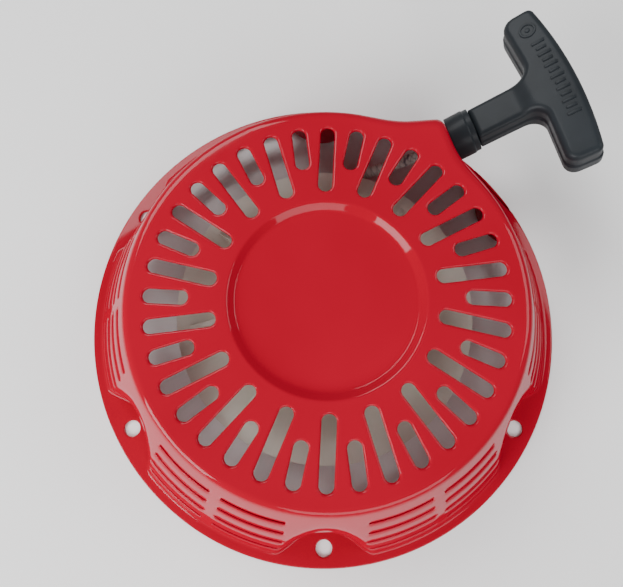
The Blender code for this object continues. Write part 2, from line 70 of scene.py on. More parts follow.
class Term:
    """A shader socket that arithmetic adds Math nodes to."""

    def __init__(self, graph: "Graph", socket: bpy.types.NodeSocket) -> None:
        """Wrap an output socket of a node in the graph."""
        self.graph = graph
        self.socket = socket

    def _math(self, operation: str, *values: Any) -> "Term":
        """Add one Math node and wrap its result."""
        return self.graph.node("ShaderNodeMath", {"operation": operation}, dict(enumerate(values)))

    def __add__(self, other: Any) -> "Term":
        """Add."""
        return self._math("ADD", self, other)

    __radd__ = __add__

    def __mul__(self, other: Any) -> "Term":
        """Multiply."""
        return self._math("MULTIPLY", self, other)

    __rmul__ = __mul__

    def __sub__(self, other: Any) -> "Term":
        """Subtract."""
        return self._math("SUBTRACT", self, other)

    def __rsub__(self, other: Any) -> "Term":
        """Subtract from a number."""
        return self._math("SUBTRACT", other, self)

    def __pow__(self, other: Any) -> "Term":
        """Raise to a power."""
        return self._math("POWER", self, other)

    def __abs__(self) -> "Term":
        """Absolute value."""
        return self._math("ABSOLUTE", self)

    def sine(self) -> "Term":
        """Sine of an angle in radians."""
        return self._math("SINE", self)

    def angle_to(self, across: "Term") -> "Term":
        """Angle in radians of the point (across, self)."""
        return self._math("ARCTAN2", self, across)

    def fit(self, low: float, high: float, to_low: float = 0.0, to_high: float = 1.0) -> "Term":
        """Map low..high to to_low..to_high and clamp the result."""
        return self.graph.node("ShaderNodeMapRange", {"clamp": True}, {
            "Value": self, "From Min": low, "From Max": high, "To Min": to_low, "To Max": to_high})


class Graph:
    """The node graph of one material."""

    def __init__(self, name: str) -> None:
        """Start a material with only its output and Principled shader."""
        self.material = bpy.data.materials.new(name)
        self.material.use_nodes = True
        self.tree = self.material.node_tree
        self.shader = self.tree.nodes["Principled BSDF"]

    def connect(self, value: Any, socket: bpy.types.NodeSocket) -> None:
        """Link a term to a socket, or set the socket's own value."""
        if isinstance(value, Term):
            self.tree.links.new(value.socket, socket)
        else:
            socket.default_value = value

    def node(self, kind: str, settings: dict[str, Any], inputs: dict[Any, Any],
             output: Any = 0) -> Term:
        """Add any node.

        Args:
            kind: The node's type.
            settings: Its properties, set before its sockets.
            inputs: Values or terms by socket name or index.
            output: The output socket that is wanted, by name or index.

        Returns:
            The wrapped output socket.
        """
        made = self.tree.nodes.new(kind)
        for key, value in settings.items():
            setattr(made, key, value)
        for key, value in inputs.items():
            self.connect(value, made.inputs[key])
        return Term(self, made.outputs[output])

    def place(self) -> Term:
        """Object coordinates, in metres."""
        return self.node("ShaderNodeTexCoord", {}, {}, "Object")

    def moved(self, matrix: Matrix) -> Term:
        """Object coordinates seen from a frame whose placement is the matrix."""
        inverse = matrix.inverted()
        return self.node("ShaderNodeMapping", {"vector_type": "POINT"}, {
            "Vector": self.place(), "Location": inverse.to_translation(),
            "Rotation": inverse.to_euler()})

    def parts(self, vector: Term) -> tuple[Term, Term, Term]:
        """The three coordinates of a vector."""
        made = self.tree.nodes.new("ShaderNodeSeparateXYZ")
        self.connect(vector, made.inputs[0])
        return Term(self, made.outputs[0]), Term(self, made.outputs[1]), Term(self, made.outputs[2])

    def noise(self, scale: float, detail: float = 2.0, vector: Term | None = None,
              rough: float = 0.5) -> Term:
        """Noise from 0 to 1 with a number of features to the metre."""
        return self.node("ShaderNodeTexNoise", {}, {
            "Vector": vector or self.place(), "Scale": scale, "Detail": detail, "Roughness": rough})

    def mixed(self, share: Any, first: Sequence[float], second: Any) -> Term:
        """Blend two colours by a share."""
        made = self.tree.nodes.new("ShaderNodeMix")
        made.data_type = "RGBA"
        self.connect(share, made.inputs["Factor"])
        for value, socket in ((first, made.inputs[6]), (second, made.inputs[7])):
            self.connect(value if isinstance(value, Term) else (*value, 1.0), socket)
        return Term(self, made.outputs[2])

    def bump(self, height: Term, distance: float, strength: float = 1.0) -> Term:
        """A normal from a height of 0 to 1 over a distance in metres."""
        return self.node("ShaderNodeBump", {}, {
            "Height": height, "Distance": distance, "Strength": strength})

    def dress(self, **sockets: Any) -> bpy.types.Material:
        """Set the Principled sockets, with underscores for the spaces in their names."""
        for key, value in sockets.items():
            self.connect(value, self.shader.inputs[key.replace("_", " ")])
        return self.material


# ---------------------------------------------------------------- finishes

class Slot(Enum):
    """The material slots of the part."""

    ENAMEL = "red_paint"
    POLYMER = "black_plastic"
    NYLON = "nylon"
    ZINC = "zinc_steel"
    SPRING = "spring_steel"
    ROPE = "rope"


@dataclass(frozen=True)
class Enamel:
    """Gloss enamel over drawn sheet: a faint orange peel and a slow drift of colour."""

    base: tuple[float, float, float] = (0.395, 0.0010, 0.0175)
    deep: tuple[float, float, float] = (0.345, 0.0008, 0.0140)
    gloss: float = 0.13
    peel: float = 0.000009

    def build(self) -> bpy.types.Material:
        """Make the material."""
        g = Graph("red_enamel")
        drift = g.noise(14, 3).fit(0.35, 0.7)
        peel = g.noise(650, 2)
        fine = g.noise(4200, 1)
        rub = g.noise(90, 4, rough=0.65).fit(0.45, 0.8)
        return g.dress(
            Base_Color=g.mixed(drift, self.base, self.deep),
            Roughness=self.gloss + 0.05 * rub + 0.03 * fine,
            Normal=g.bump(peel * 0.85 + fine * 0.15, self.peel),
            Specular_IOR_Level=0.0, Coat_Weight=0.42, Coat_Roughness=0.04)


@dataclass(frozen=True)
class Polymer:
    """Spark-grained black polymer with a soft sheen, and faint flow streaks."""

    base: tuple[float, float, float] = (0.014, 0.017, 0.020)
    pale: tuple[float, float, float] = (0.023, 0.028, 0.033)
    rough: float = 0.40
    grain: float = 0.000035

    def build(self) -> bpy.types.Material:
        """Make the material."""
        g = Graph("black_polymer")
        cloud = g.noise(55, 3).fit(0.35, 0.75)
        grain = g.noise(2600, 2, rough=0.6)
        pits = g.node("ShaderNodeTexVoronoi", {}, {"Vector": g.place(), "Scale": 1900.0}, "Distance")
        scuff = g.noise(240, 5, rough=0.7).fit(0.62, 0.8)
        return g.dress(
            Base_Color=g.mixed(cloud * 0.7 + scuff * 0.3, self.base, self.pale),
            Roughness=self.rough + 0.10 * grain - 0.05 * scuff,
            Normal=g.bump(grain * 0.7 + pits * 0.3, self.grain, 0.6),
            Specular_IOR_Level=0.12, Coat_Weight=0.05, Coat_Roughness=0.2)


@dataclass(frozen=True)
class Nylon:
    """Natural nylon: milky, a little greyed by dust, with soft mould texture."""

    base: tuple[float, float, float] = (0.82, 0.82, 0.72)
    dusty: tuple[float, float, float] = (0.68, 0.67, 0.57)

    def build(self) -> bpy.types.Material:
        """Make the material."""
        g = Graph("natural_nylon")
        cloud = g.noise(38, 4, rough=0.6).fit(0.42, 0.78)
        grain = g.noise(1500, 2)
        return g.dress(
            Base_Color=g.mixed(cloud * 0.6, self.base, self.dusty),
            Roughness=0.42 + 0.16 * grain,
            Normal=g.bump(grain, 0.00004),
            IOR=1.53)


@dataclass(frozen=True)
class Metal:
    """Plated or blued steel with fine drawing marks and a mottled sheen."""

    name: str
    base: tuple[float, float, float]
    tint: tuple[float, float, float]
    rough: float
    marks: float

    def build(self) -> bpy.types.Material:
        """Make the material."""
        g = Graph(self.name)
        mottle = g.noise(130, 4, rough=0.6).fit(0.35, 0.75)
        drawn = g.node("ShaderNodeMapping", {"vector_type": "POINT"}, {
            "Vector": g.place(), "Scale": (260.0, 260.0, 3200.0)})
        lines = g.noise(1.0, 3, drawn)
        return g.dress(
            Base_Color=g.mixed(mottle, self.base, self.tint),
            Roughness=self.rough + 0.14 * lines + 0.05 * mottle,
            Metallic=1.0,
            Normal=g.bump(lines, self.marks, 0.5))


@dataclass(frozen=True)
class Rope:
    """Braided polyester: strands that cross in two hands, with a dark tracer in one of them."""

    strand: tuple[float, float, float] = (0.70, 0.69, 0.64)
    tracer: tuple[float, float, float] = (0.06, 0.07, 0.10)
    pitch: float = 0.0105
    strands: int = 8

    def _braid(self, g: Graph, along: Term, around: Term) -> bpy.types.Material:
        """Weave the braid from a length along the rope and an angle round it, with painted shade in the
        valleys between strands.
        """
        run = along * (TURN / self.pitch * 2)
        turn = around * (self.strands / 2)
        left = (run + turn).sine()
        right = (run - turn).sine()
        over = (left * right).fit(-0.25, 0.25)
        crown = (abs(left) * over + abs(right) * (1 - over)) ** 0.6
        fibre = g.noise(5200, 2)
        mark = (run * 0.25 + around).sine().fit(0.90, 0.97) * over
        # Painted shade: each strand darkens to 45 % of its colour where its crown drops into the valleys
        # between strands.
        pale = g.mixed(crown.fit(0.2, 0.9), tuple(c * 0.45 for c in self.strand), self.strand)
        return g.dress(
            Base_Color=g.mixed(mark * 0.85, pale, self.tracer),
            Roughness=0.80 + 0.12 * fibre,
            Normal=g.bump(crown * 0.85 + fibre * 0.15, 0.00035, 0.8),
            Sheen_Weight=0.25)

    def straight(self, placement: Matrix) -> bpy.types.Material:
        """Rope that runs along +X of a placement."""
        g = Graph("rope_straight")
        x, y, z = g.parts(g.moved(placement))
        return self._braid(g, x, z.angle_to(y))

    def wound(self, radius: float, height: float) -> bpy.types.Material:
        """Rope that lies round Z at a radius and a height."""
        g = Graph("rope_wound")
        x, y, z = g.parts(g.place())
        reach = (x * x + y * y) ** 0.5
        return self._braid(g, y.angle_to(x) * radius, (z - height).angle_to(reach - radius))


class Paint:
    """The shop's shelf of finishes, each made once, and the bench where pieces are dressed."""

    def __init__(self) -> None:
        """Mix every finish that more than one piece takes."""
        self.shelf = {
            Slot.ENAMEL: Enamel().build(),
            Slot.POLYMER: Polymer().build(),
            Slot.NYLON: Nylon().build(),
            Slot.ZINC: Metal("zinc_plate", (0.60, 0.61, 0.60), (0.66, 0.62, 0.50), 0.24, 0.00002).build(),
            Slot.SPRING: Metal("blued_spring", (0.13, 0.14, 0.17), (0.23, 0.21, 0.20), 0.22, 0.00002).build(),
        }

    def give(self, node: str, body: str, slot: Slot, made: bpy.types.Object,
             finish: bpy.types.Material | None = None, sharp: float = 38.0) -> bpy.types.Object:
        """Dress a modelled object, hang it on its body and hide the plain solid.

        Args:
            node: The CAD node that the object stands for.
            body: The body that it rides on.
            slot: Its material slot.
            made: The modelled object.
            finish: Its material, where that isn't the slot's usual one.
            sharp: The corner angle in degrees from which an edge stays sharp.

        Returns:
            The object, now named after its node.
        """
        made.name = f"{node}_shape"
        made.data.name = made.name
        made.data.materials.clear()
        made.data.materials.append(finish or self.shelf[slot])
        made.data.shade_smooth()
        made.data.set_sharp_from_angle(angle=math.radians(sharp))
        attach(made, body)
        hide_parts(node)
        LOG.info("%s: %d faces", made.name, len(made.data.polygons))
        return made


# ---------------------------------------------------------------- bench work

def arc(centre: Point2, radius: float, start: float, end: float, steps: int) -> list[Point2]:
    """Points of an arc, both ends included, with angles in degrees."""
    points = []
    for i in range(steps + 1):
        angle = math.radians(start + (end - start) * i / steps)
        points.append((centre[0] + radius * math.cos(angle), centre[1] + radius * math.sin(angle)))
    return points


def smooth(value: float) -> float:
    """A soft step from 0 at 0 to 1 at 1."""
    t = min(1.0, max(0.0, value))
    return t * t * (3 - 2 * t)


def chain(bm: BMesh, points: Iterable[Sequence[float]], closed: bool) -> list[BMEdge]:
    """Lay a row of vertices joined by edges."""
    verts = [bm.verts.new(point) for point in points]
    pairs = list(zip(verts, verts[1:]))
    if closed:
        pairs.append((verts[-1], verts[0]))
    return [bm.edges.new(pair) for pair in pairs]


def turned(profile: Sequence[Point2], steps: int = 96, closed: bool = True) -> BMesh:
    """Turn an outline of (radius, height) about Z.

    Args:
        profile: The outline; an open one starts and ends on the axis.
        steps: Segments round the axis.
        closed: Whether the outline's last point joins its first.

    Returns:
        A closed mesh whose faces point out.
    """
    bm = bmesh.new()
    edges = chain(bm, [(r, 0, z) for r, z in profile], closed)
    bmesh.ops.spin(bm, geom=[*bm.verts, *edges], cent=(0, 0, 0), axis=(0, 0, 1), dvec=(0, 0, 0),
                   angle=TURN, steps=steps, use_merge=True)
    bmesh.ops.remove_doubles(bm, verts=bm.verts, dist=1e-6)
    bmesh.ops.recalc_face_normals(bm, faces=bm.faces)
    return bm


def prism(outline: Sequence[Point2], low: float, high: float) -> BMesh:
    """Extrude a flat outline from one height to another."""
    bm = bmesh.new()
    chain(bm, [(x, y, low) for x, y in outline], True)
    base = bmesh.ops.contextual_create(bm, geom=bm.edges)["faces"]
    lifted = bmesh.ops.extrude_face_region(bm, geom=base)["geom"]
    bmesh.ops.translate(bm, verts=[v for v in lifted if isinstance(v, BMVert)], vec=(0, 0, high - low))
    bmesh.ops.recalc_face_normals(bm, faces=bm.faces)
    return bm


def ease(bm: BMesh, offset: float, segments: int = 2,
         keep: Callable[[BMEdge], bool] = lambda edge: True, corner: float = 30) -> BMesh:
    """Round the edges sharper than a corner angle, in degrees, that a test keeps."""
    limit = math.radians(corner)
    sharp = [e for e in bm.edges if len(e.link_faces) == 2 and e.calc_face_angle() > limit and keep(e)]
    bmesh.ops.bevel(bm, geom=sharp, offset=offset, segments=segments, affect="EDGES", profile=0.5,
                    material=-1, clamp_overlap=True)
    return bm


def moved(bm: BMesh, matrix: Matrix) -> BMesh:
    """Put a mesh in its place."""
    bmesh.ops.transform(bm, matrix=matrix, verts=bm.verts)
    return bm


def poured(bm: BMesh, *others: BMesh) -> BMesh:
    """Add other meshes to the first as loose shells."""
    for other in others:
        spare = bpy.data.meshes.new("spare")
        other.to_mesh(spare)
        other.free()
        bm.from_mesh(spare)
        bpy.data.meshes.remove(spare)
    return bm


def drawn(bm: BMesh, section: BMFace, steps: Iterable[Matrix]) -> BMesh:
    """Draw a lone section on into a closed bar.

    Args:
        bm: The mesh, which holds only the section.
        section: The face to draw on, which stays as the bar's first end.
        steps: How each new section moves from the one before it.

    Returns:
        The same mesh, with its faces turned out.
    """
    for count, step in enumerate(steps):
        result = bmesh.ops.extrude_face_region(bm, geom=[section])["geom"]
        fresh = next(item for item in result if isinstance(item, BMFace))
        if count:
            bmesh.ops.delete(bm, geom=[section], context="FACES_ONLY")
        bmesh.ops.transform(bm, matrix=step, verts=fresh.verts[:])
        section = fresh
    bmesh.ops.recalc_face_normals(bm, faces=bm.faces)
    return bm


def mesh_object(name: str, bm: BMesh) -> bpy.types.Object:
    """Make an object at the origin from a finished mesh."""
    mesh = bpy.data.meshes.new(name)
    bm.to_mesh(mesh)
    bm.free()
    made = bpy.data.objects.new(name, mesh)
    bpy.context.scene.collection.objects.link(made)
    return made


def baked(made: bpy.types.Object) -> bpy.types.Object:
    """Replace a piece's mesh by what its modifiers make of it."""
    graph = bpy.context.evaluated_depsgraph_get()
    result = bpy.data.meshes.new_from_object(made.evaluated_get(graph))
    made.modifiers.clear()
    old = made.data
    made.data = result
    bpy.data.meshes.remove(old)
    return made


def joined(made: bpy.types.Object, tool: BMesh, operation: str) -> bpy.types.Object:
    """Cut a tool out of a piece, or weld it on."""
    other = mesh_object("tool", tool)
    step = made.modifiers.new("cut", "BOOLEAN")
    step.operation = operation
    step.solver = "EXACT"
    step.object = other
    baked(made)
    bpy.data.objects.remove(other)
    return made


# ---------------------------------------------------------------- housing

def soft_min(a: float, b: float, blend: float) -> float:
    """The lesser of two lengths, with a round corner where they meet."""
    share = min(1.0, max(0.0, 0.5 + 0.5 * (b - a) / blend))
    return b * (1 - share) + a * share - blend * share * (1 - share)


def soft_max(a: float, b: float, blend: float) -> float:
    """The greater of two lengths, with a round corner where they meet."""
    return -soft_min(-a, -b, blend)


@dataclass
class Pull:
    """The line that the rope leaves on, from the middle of the guide's seat on the spout."""

    seat_z: float = 0.0301
    wrap_radius: float = 0.0568
    rope_z: float = 0.0238
    level_length: float = 0.036
    mouth: float = -0.0060
    spout_reach: float = 0.0657
    axis: Vector = field(default_factory=lambda: Vector(
        next(j["axis"] for j in frame["joints"] if j["name"] == "handle_pull")))

    def __post_init__(self) -> None:
        """Work out the headings and the seat."""
        self.turn = math.atan2(self.axis.y, self.axis.x)
        self.rise = math.asin(self.axis.z)
        self.heading = Vector((math.cos(self.turn), math.sin(self.turn), 0))
        self.side = Vector((-math.sin(self.turn), math.cos(self.turn), 0))
        self.reach = self.spout_reach + (Housing.face_z - self.seat_z) * math.tan(self.rise)
        self.seat = self.heading * self.reach + self.side * self.wrap_radius + Vector((0, 0, self.seat_z))

    def frame(self, roll: float = 0.0) -> Matrix:
        """The placement whose +X runs along the pull from the seat."""
        return (Matrix.Translation(self.seat) @ Matrix.Rotation(self.turn, 4, "Z")
                @ Matrix.Rotation(-self.rise, 4, "Y") @ Matrix.Rotation(roll, 4, "X"))

    def along(self) -> Matrix:
        """The placement whose +Z runs along the pull from the seat."""
        return self.frame() @ Matrix.Rotation(math.pi / 2, 4, "Y")

    def rope_point(self, distance: float) -> Vector:
        """The rope's middle line, by distance in plan from where it leaves the winding."""
        mouth = self.reach + self.mouth * math.cos(self.rise)
        mouth_z = self.seat_z + self.mouth * math.sin(self.rise)
        slope = math.tan(self.rise)
        if distance <= self.level_length:
            z = self.rope_z
        elif distance >= mouth:
            z = mouth_z + (distance - mouth) * slope
        else:
            span = mouth - self.level_length
            u = (distance - self.level_length) / span
            z = self.rope_z + (mouth_z - self.rope_z) * (3 * u**2 - 2 * u**3) + slope * span * (u**3 - u**2)
        return self.heading * distance + self.side * self.wrap_radius + Vector((0, 0, z))


@dataclass
class Housing:
    """The drawn dome: a flange, a louvred cone, six bolt pockets, a spout and a slotted face."""

    sheet: float = 0.0012
    flange_radius: float = 0.113
    flange_edge: float = 0.0005
    face_z: float = 0.062
    foot_radius: float = 0.108
    foot_z: float = 0.002
    wall_slope: float = 0.034 / 0.060
    columns: int = 480
    edge_round: float = 0.0036
    spout_round: float = 0.0030
    foot_round: float = 0.0022
    foot_margin: float = 0.0018
    support: float = 0.0005
    round_steps: int = 6
    wall_span: Point2 = (0.0042, 0.0575)
    foot_span: Point2 = (0.002, 0.010)
    edge_span: Point2 = (0.054, 0.062)

    bolts: int = 6
    bolt_circle: float = 0.1045
    bolt_hole: float = 0.0037
    pocket_reach: float = 0.0955
    pocket_slope: float = 0.215
    pocket_bend: float = 29.0
    pocket_blend: float = 0.006

    spout_side_angle: float = math.radians(64.5)
    spout_side_reach: float = 0.0672
    spout_side_slope: float = 0.58
    spout_limit: float = 0.1085
    spout_limit_slope: float = 0.05
    spout_blend: float = 0.004
    spout_span: Point2 = (math.radians(-25), math.radians(85))
    spout_middle: float = 24.0
    spout_spread: float = 34.0
    guide_hole: float = 0.0073
    guide_seat: float = 0.0104

    slots: int = 36
    slot_width: float = 0.0054
    slot_outer: float = 0.0645
    slot_inner: Point2 = (0.0436, 0.0532)
    slot_turn: float = math.radians(3)
    slot_offset: float = 0.00277
    slot_lip: float = 0.0008
    slot_points: int = 32

    recess_floor: float = 0.034
    recess_edge: float = 0.0365
    recess_depth: float = 0.0025
    recess_round: float = 0.0015

    louvre_heights: tuple[float, ...] = (0.0085, 0.0213, 0.0348, 0.0484)
    louvre_half: float = 0.00175
    louvre_from: float = 1.5
    louvre_to: float = 19.5
    louvre_lip: tuple[Point2, Point2] = ((0.00022, -0.00012), (0.00020, -0.00040))
    spout_sector: int = 0

    def spout_radius(self, angle: float, z: float, pull: Pull) -> float:
        """Distance from the axis to the two flat walls that meet at the spout's corner."""
        drop = self.face_z - z
        reaches = []
        for normal, reach, slope in ((pull.turn, pull.spout_reach, math.tan(pull.rise)),
                                     (self.spout_side_angle, self.spout_side_reach, self.spout_side_slope)):
            reaches.append((reach + drop * slope) / max(0.2, math.cos(angle - normal)))
        corner = soft_min(reaches[0], reaches[1], self.spout_blend)
        limit = self.spout_limit - (z - self.foot_z) * self.spout_limit_slope
        return soft_min(corner, limit, self.spout_blend)

    def pocket_radius(self, angle: float, z: float) -> float:
        """Distance from the axis to the curved back wall of the nearest bolt pocket."""
        sector = TURN / self.bolts
        offset = angle - round(angle / sector) * sector
        reach = self.pocket_reach - z * self.pocket_slope
        bend = self.pocket_bend * math.sin(offset) ** 2
        if bend < 1e-6:
            return reach / math.cos(offset)
        under_root = math.cos(offset) ** 2 - 4 * bend * reach
        if under_root <= 0:
            return math.inf
        return (math.cos(offset) - math.sqrt(under_root)) / (2 * bend)

    def wall_radius(self, angle: float, z: float, pull: Pull) -> float:
        """Distance from the axis to the outside of the wall."""
        radius = self.foot_radius - (z - self.foot_z) * self.wall_slope
        if self.spout_span[0] < angle < self.spout_span[1]:
            radius = soft_max(radius, self.spout_radius(angle, z, pull), self.spout_blend)
        pocket = self.pocket_radius(angle, z)
        if pocket < radius + self.pocket_blend:
            radius = soft_min(radius, pocket, self.pocket_blend)
        return radius

    def wall_heights(self) -> list[float]:
        """Heights of the wall's rings between its two fillets, with one at each louvre's edges."""
        edges = sorted(z + side * self.louvre_half for z in self.louvre_heights for side in (-1, 1))
        heights = []
        bottom, top = self.wall_span
        for low, high in zip([bottom, *edges], [*edges, top]):
            heights += [low + (high - low) * share for share in (0, 1 / 3, 2 / 3)]
        return sorted(set(round(h, 6) for h in [*heights, top]))

    def pressed(self, ring: int, angle: float, heights: Sequence[float], pull: Pull) -> Vector:
        """Where a point of the blank's ring lands in the press, from the flange up to the face."""
        fillet = self.round_steps + 1
        rings = len(heights) + 2 * (fillet + 1)
        from_top = rings - 1 - ring
        if ring <= fillet:
            base, step, rounding = self.sheet, ring - 1, self.foot_round
            low, high = self.foot_span
        elif from_top <= fillet:
            base, step = self.face_z, from_top - 1
            towards = smooth(1 - abs(math.degrees(angle) - self.spout_middle) / self.spout_spread)
            rounding = self.edge_round + self.spout_round * towards
            low, high = self.edge_span
        else:
            z = heights[ring - fillet - 1]
            reach = self.wall_radius(angle, z, pull)
            return Vector((reach * math.cos(angle), reach * math.sin(angle), z))
        slope = (self.wall_radius(angle, low, pull) - self.wall_radius(angle, high, pull)) / (high - low)
        bend = math.atan2(1, slope)
        tangent = rounding * math.tan(bend / 2)
        phi = bend * max(step, 0) / self.round_steps
        sign = 1 if base == self.sheet else -1
        z = base + sign * rounding * (1 - math.cos(phi))
        corner = self.wall_radius(angle, base, pull)
        if base == self.sheet:
            corner = min(corner, self.flange_radius - self.foot_margin - tangent - self.support)
        reach = corner + sign * (tangent - rounding * math.sin(phi))
        if step < 0:
            reach += sign * self.support
        return Vector((reach * math.cos(angle), reach * math.sin(angle), z))

    def blank(self, rings: int) -> BMesh:
        """A plain tube whose heights count the rings, ready for the press."""
        bm = bmesh.new()
        edges = chain(bm, [(1, 0, i) for i in range(rings)], False)
        bmesh.ops.spin(bm, geom=[*bm.verts, *edges], cent=(0, 0, 0), axis=(0, 0, 1), dvec=(0, 0, 0),
                       angle=TURN, steps=self.columns, use_merge=True)
        return bm

    def louvre_windows(self, bm: BMesh, heights: Sequence[float]) -> list[list[BMFace]]:
        """The blank's faces that each louvre takes away."""
        fillet = self.round_steps + 1
        starts = {}
        for row, z in enumerate(self.louvre_heights):
            low = fillet + 1 + min(range(len(heights)), key=lambda i: abs(heights[i] - z + self.louvre_half))
            high = fillet + 1 + min(range(len(heights)), key=lambda i: abs(heights[i] - z - self.louvre_half))
            starts.update({ring: row for ring in range(low, high)})
        windows: dict[tuple[int, int, int], list[BMFace]] = {}
        for face in bm.faces:
            centre = face.calc_center_median()
            row = starts.get(math.floor(centre.z))
            if row is None:
                continue
            degrees = math.degrees(math.atan2(centre.y, centre.x)) % 360
            sector = int(degrees // 60)
            offset = degrees - sector * 60 - 30
            if sector != self.spout_sector and self.louvre_from < abs(offset) < self.louvre_to:
                windows.setdefault((sector, 1 if offset > 0 else -1, row), []).append(face)
        return list(windows.values())

    def rolled(self, bm: BMesh, edges: list[BMEdge], middle: tuple[Vector, Vector],
               steps: Iterable[Point2]) -> None:
        """Draw a loop on in steps of (spread, lift) away from a middle line."""
        start, end = middle
        line = end - start
        for spread, lift in steps:
            result = bmesh.ops.extrude_edge_only(bm, edges=edges)["geom"]
            edges = [item for item in result if isinstance(item, BMEdge)
                     and all(v in result for v in item.verts)]
            for vert in (item for item in result if isinstance(item, BMVert)):
                flat = Vector((vert.co.x, vert.co.y))
                share = 0.0
                if line.length > 1e-9:
                    share = min(1, max(0, (flat - start).dot(line) / line.dot(line)))
                away = (flat - start - line * share).normalized()
                vert.co += Vector((away.x * spread, away.y * spread, lift))

    def loop(self, bm: BMesh, middle: tuple[Vector, Vector], reach: float, z: float,
             points: int) -> list[BMEdge]:
        """A flat loop of even width round a middle line."""
        verts = bmesh.ops.create_circle(bm, cap_ends=False, segments=points, radius=reach)["verts"]
        start, end = middle
        heading = (end - start).normalized() if end != start else Vector((1, 0))
        across = Vector((-heading.y, heading.x))
        for i, vert in enumerate(verts):
            turn = TURN * (i + 0.5) / points
            centre = end if math.cos(turn) > 0 else start
            spot = centre + (heading * math.cos(turn) + across * math.sin(turn)) * reach
            vert.co = (spot.x, spot.y, z)
        return list({edge for vert in verts for edge in vert.link_edges})

    def face_slots(self, bm: BMesh) -> list[BMEdge]:
        """The face's slots with lips rolled inwards, a long one and a short one in turn."""
        outer_edges = []
        half, lip = self.slot_width / 2, self.slot_lip
        steps = [(-self.support * 0.7, 0.0)]
        arc_points = arc((lip, -lip), lip, 90, 180, 4)
        for (d0, z0), (d1, z1) in zip(arc_points, arc_points[1:]):
            steps.append((d1 - d0, z1 - z0))
        steps.append((0.0, -0.0004))
        for i in range(self.slots):
            turn = TURN * i / self.slots - self.slot_turn
            place = Matrix.Rotation(turn, 2)
            middle = (place @ Vector((self.slot_inner[i % 2], self.slot_offset)),
                      place @ Vector((self.slot_outer, self.slot_offset)))
            edges = self.loop(bm, middle, half + lip + self.support * 0.7, self.face_z, self.slot_points)
            outer_edges += edges
            self.rolled(bm, edges, middle, steps)
        return outer_edges

    def recess(self, bm: BMesh) -> list[BMEdge]:
        """The shallow round recess in the middle of the face."""
        rounding = self.recess_round
        tangent = rounding * math.tan(math.radians(22.5))
        top, floor = self.face_z, self.face_z - self.recess_depth
        outer, inner = self.recess_edge + tangent, self.recess_floor - tangent
        profile = [(outer + self.support, top)]
        profile += arc((outer, top - rounding), rounding, 90, 135, 4)
        profile += arc((inner, floor + rounding), rounding, -45, -90, 4)
        profile += [(inner - self.support, floor)]
        verts = set(bm.verts)
        edges = chain(bm, [(r, 0, z) for r, z in profile], False)
        geom = [*(v for v in bm.verts if v not in verts), *edges]
        bmesh.ops.spin(bm, geom=geom, cent=(0, 0, 0), axis=(0, 0, 1), dvec=(0, 0, 0),
                       angle=TURN, steps=144, use_merge=True)
        rims = {"outer": [], "floor": []}
        for edge in bm.edges:
            if len(edge.link_faces) == 1 and edge.verts[0] not in verts:
                reach = (edge.verts[0].co.xy.length + edge.verts[1].co.xy.length) / 2
                if abs(reach - profile[0][0]) < 1e-4:
                    rims["outer"].append(edge)
                elif abs(reach - profile[-1][0]) < 1e-4:
                    rims["floor"].append(edge)
        bmesh.ops.triangle_fill(bm, use_beauty=True, edges=rims["floor"], normal=(0, 0, 1))
        return rims["outer"]

    def flange(self, bm: BMesh) -> list[BMEdge]:
        """The flange's rim and its bolt holes, ready for the sheet between them."""
        origin = Vector((0, 0))
        edge = self.flange_edge
        rim = self.loop(bm, (origin, origin), self.flange_radius - 2 * edge, self.sheet, 288)
        found = list(rim)
        steps = ((1, 0), (0.7, -0.3), (0.3, -0.7))
        self.rolled(bm, rim, (origin, origin), [(edge * out, edge * lift) for out, lift in steps])
        for i in range(self.bolts):
            turn = TURN * i / self.bolts
            centre = Vector((math.cos(turn), math.sin(turn))) * self.bolt_circle
            hole = self.loop(bm, (centre, centre), self.bolt_hole + 2 * edge, self.sheet, 40)
            found += hole
            self.rolled(bm, hole, (centre, centre), [(-edge * out, edge * lift) for out, lift in steps])
        return found

    def astray(self, bm: BMesh) -> list[BMFace]:
        """Flat faces that look down, and faces of the flange's rolled edge that look down or inwards."""
        found = []
        for face in bm.faces:
            centre = face.calc_center_median()
            reach = centre.xy.length
            if reach > self.flange_radius - 2 * self.flange_edge + 1e-5:
                outward = Vector((centre.x, centre.y, reach))
            elif abs(face.normal.z) > 0.95:
                outward = Vector((0, 0, 1))
            else:
                continue
            if face.normal.dot(outward) < 0:
                found.append(face)
        return found

    def build(self, paint: Paint, pull: Pull) -> None:
        """Press, pierce, solidify and paint the housing."""
        heights = self.wall_heights()
        rings = len(heights) + 2 * (self.round_steps + 2)
        bm = self.blank(rings)
        windows = self.louvre_windows(bm, heights)
        first, last = [], []
        for edge in bm.edges:
            levels = {round(v.co.z) for v in edge.verts}
            if levels == {0}:
                first.append(edge)
            elif levels == {rings - 1}:
                last.append(edge)
        for vert in bm.verts:
            angle = math.atan2(vert.co.y, vert.co.x)
            vert.co = self.pressed(round(vert.co.z), angle, heights, pull)
        bmesh.ops.recalc_face_normals(bm, faces=bm.faces)
        if sum(f.normal.z for f in bm.faces) < 0:
            bmesh.ops.reverse_faces(bm, faces=bm.faces)
        for window in windows:
            for thickness, depth in self.louvre_lip:
                bmesh.ops.inset_region(bm, faces=window, thickness=thickness, depth=depth,
                                       use_even_offset=True, use_boundary=True)
        bmesh.ops.delete(bm, geom=[face for window in windows for face in window], context="FACES")
        rims = self.face_slots(bm) + self.recess(bm) + last
        bmesh.ops.triangle_fill(bm, use_beauty=True, edges=rims, normal=(0, 0, 1))
        bmesh.ops.triangle_fill(bm, use_beauty=True, edges=self.flange(bm) + first, normal=(0, 0, 1))
        bmesh.ops.recalc_face_normals(bm, faces=bm.faces)
        if sum(f.normal.z * f.calc_area() for f in bm.faces) < 0:
            bmesh.ops.reverse_faces(bm, faces=bm.faces)
        bmesh.ops.reverse_faces(bm, faces=self.astray(bm))
        made = mesh_object("housing_sheet", bm)
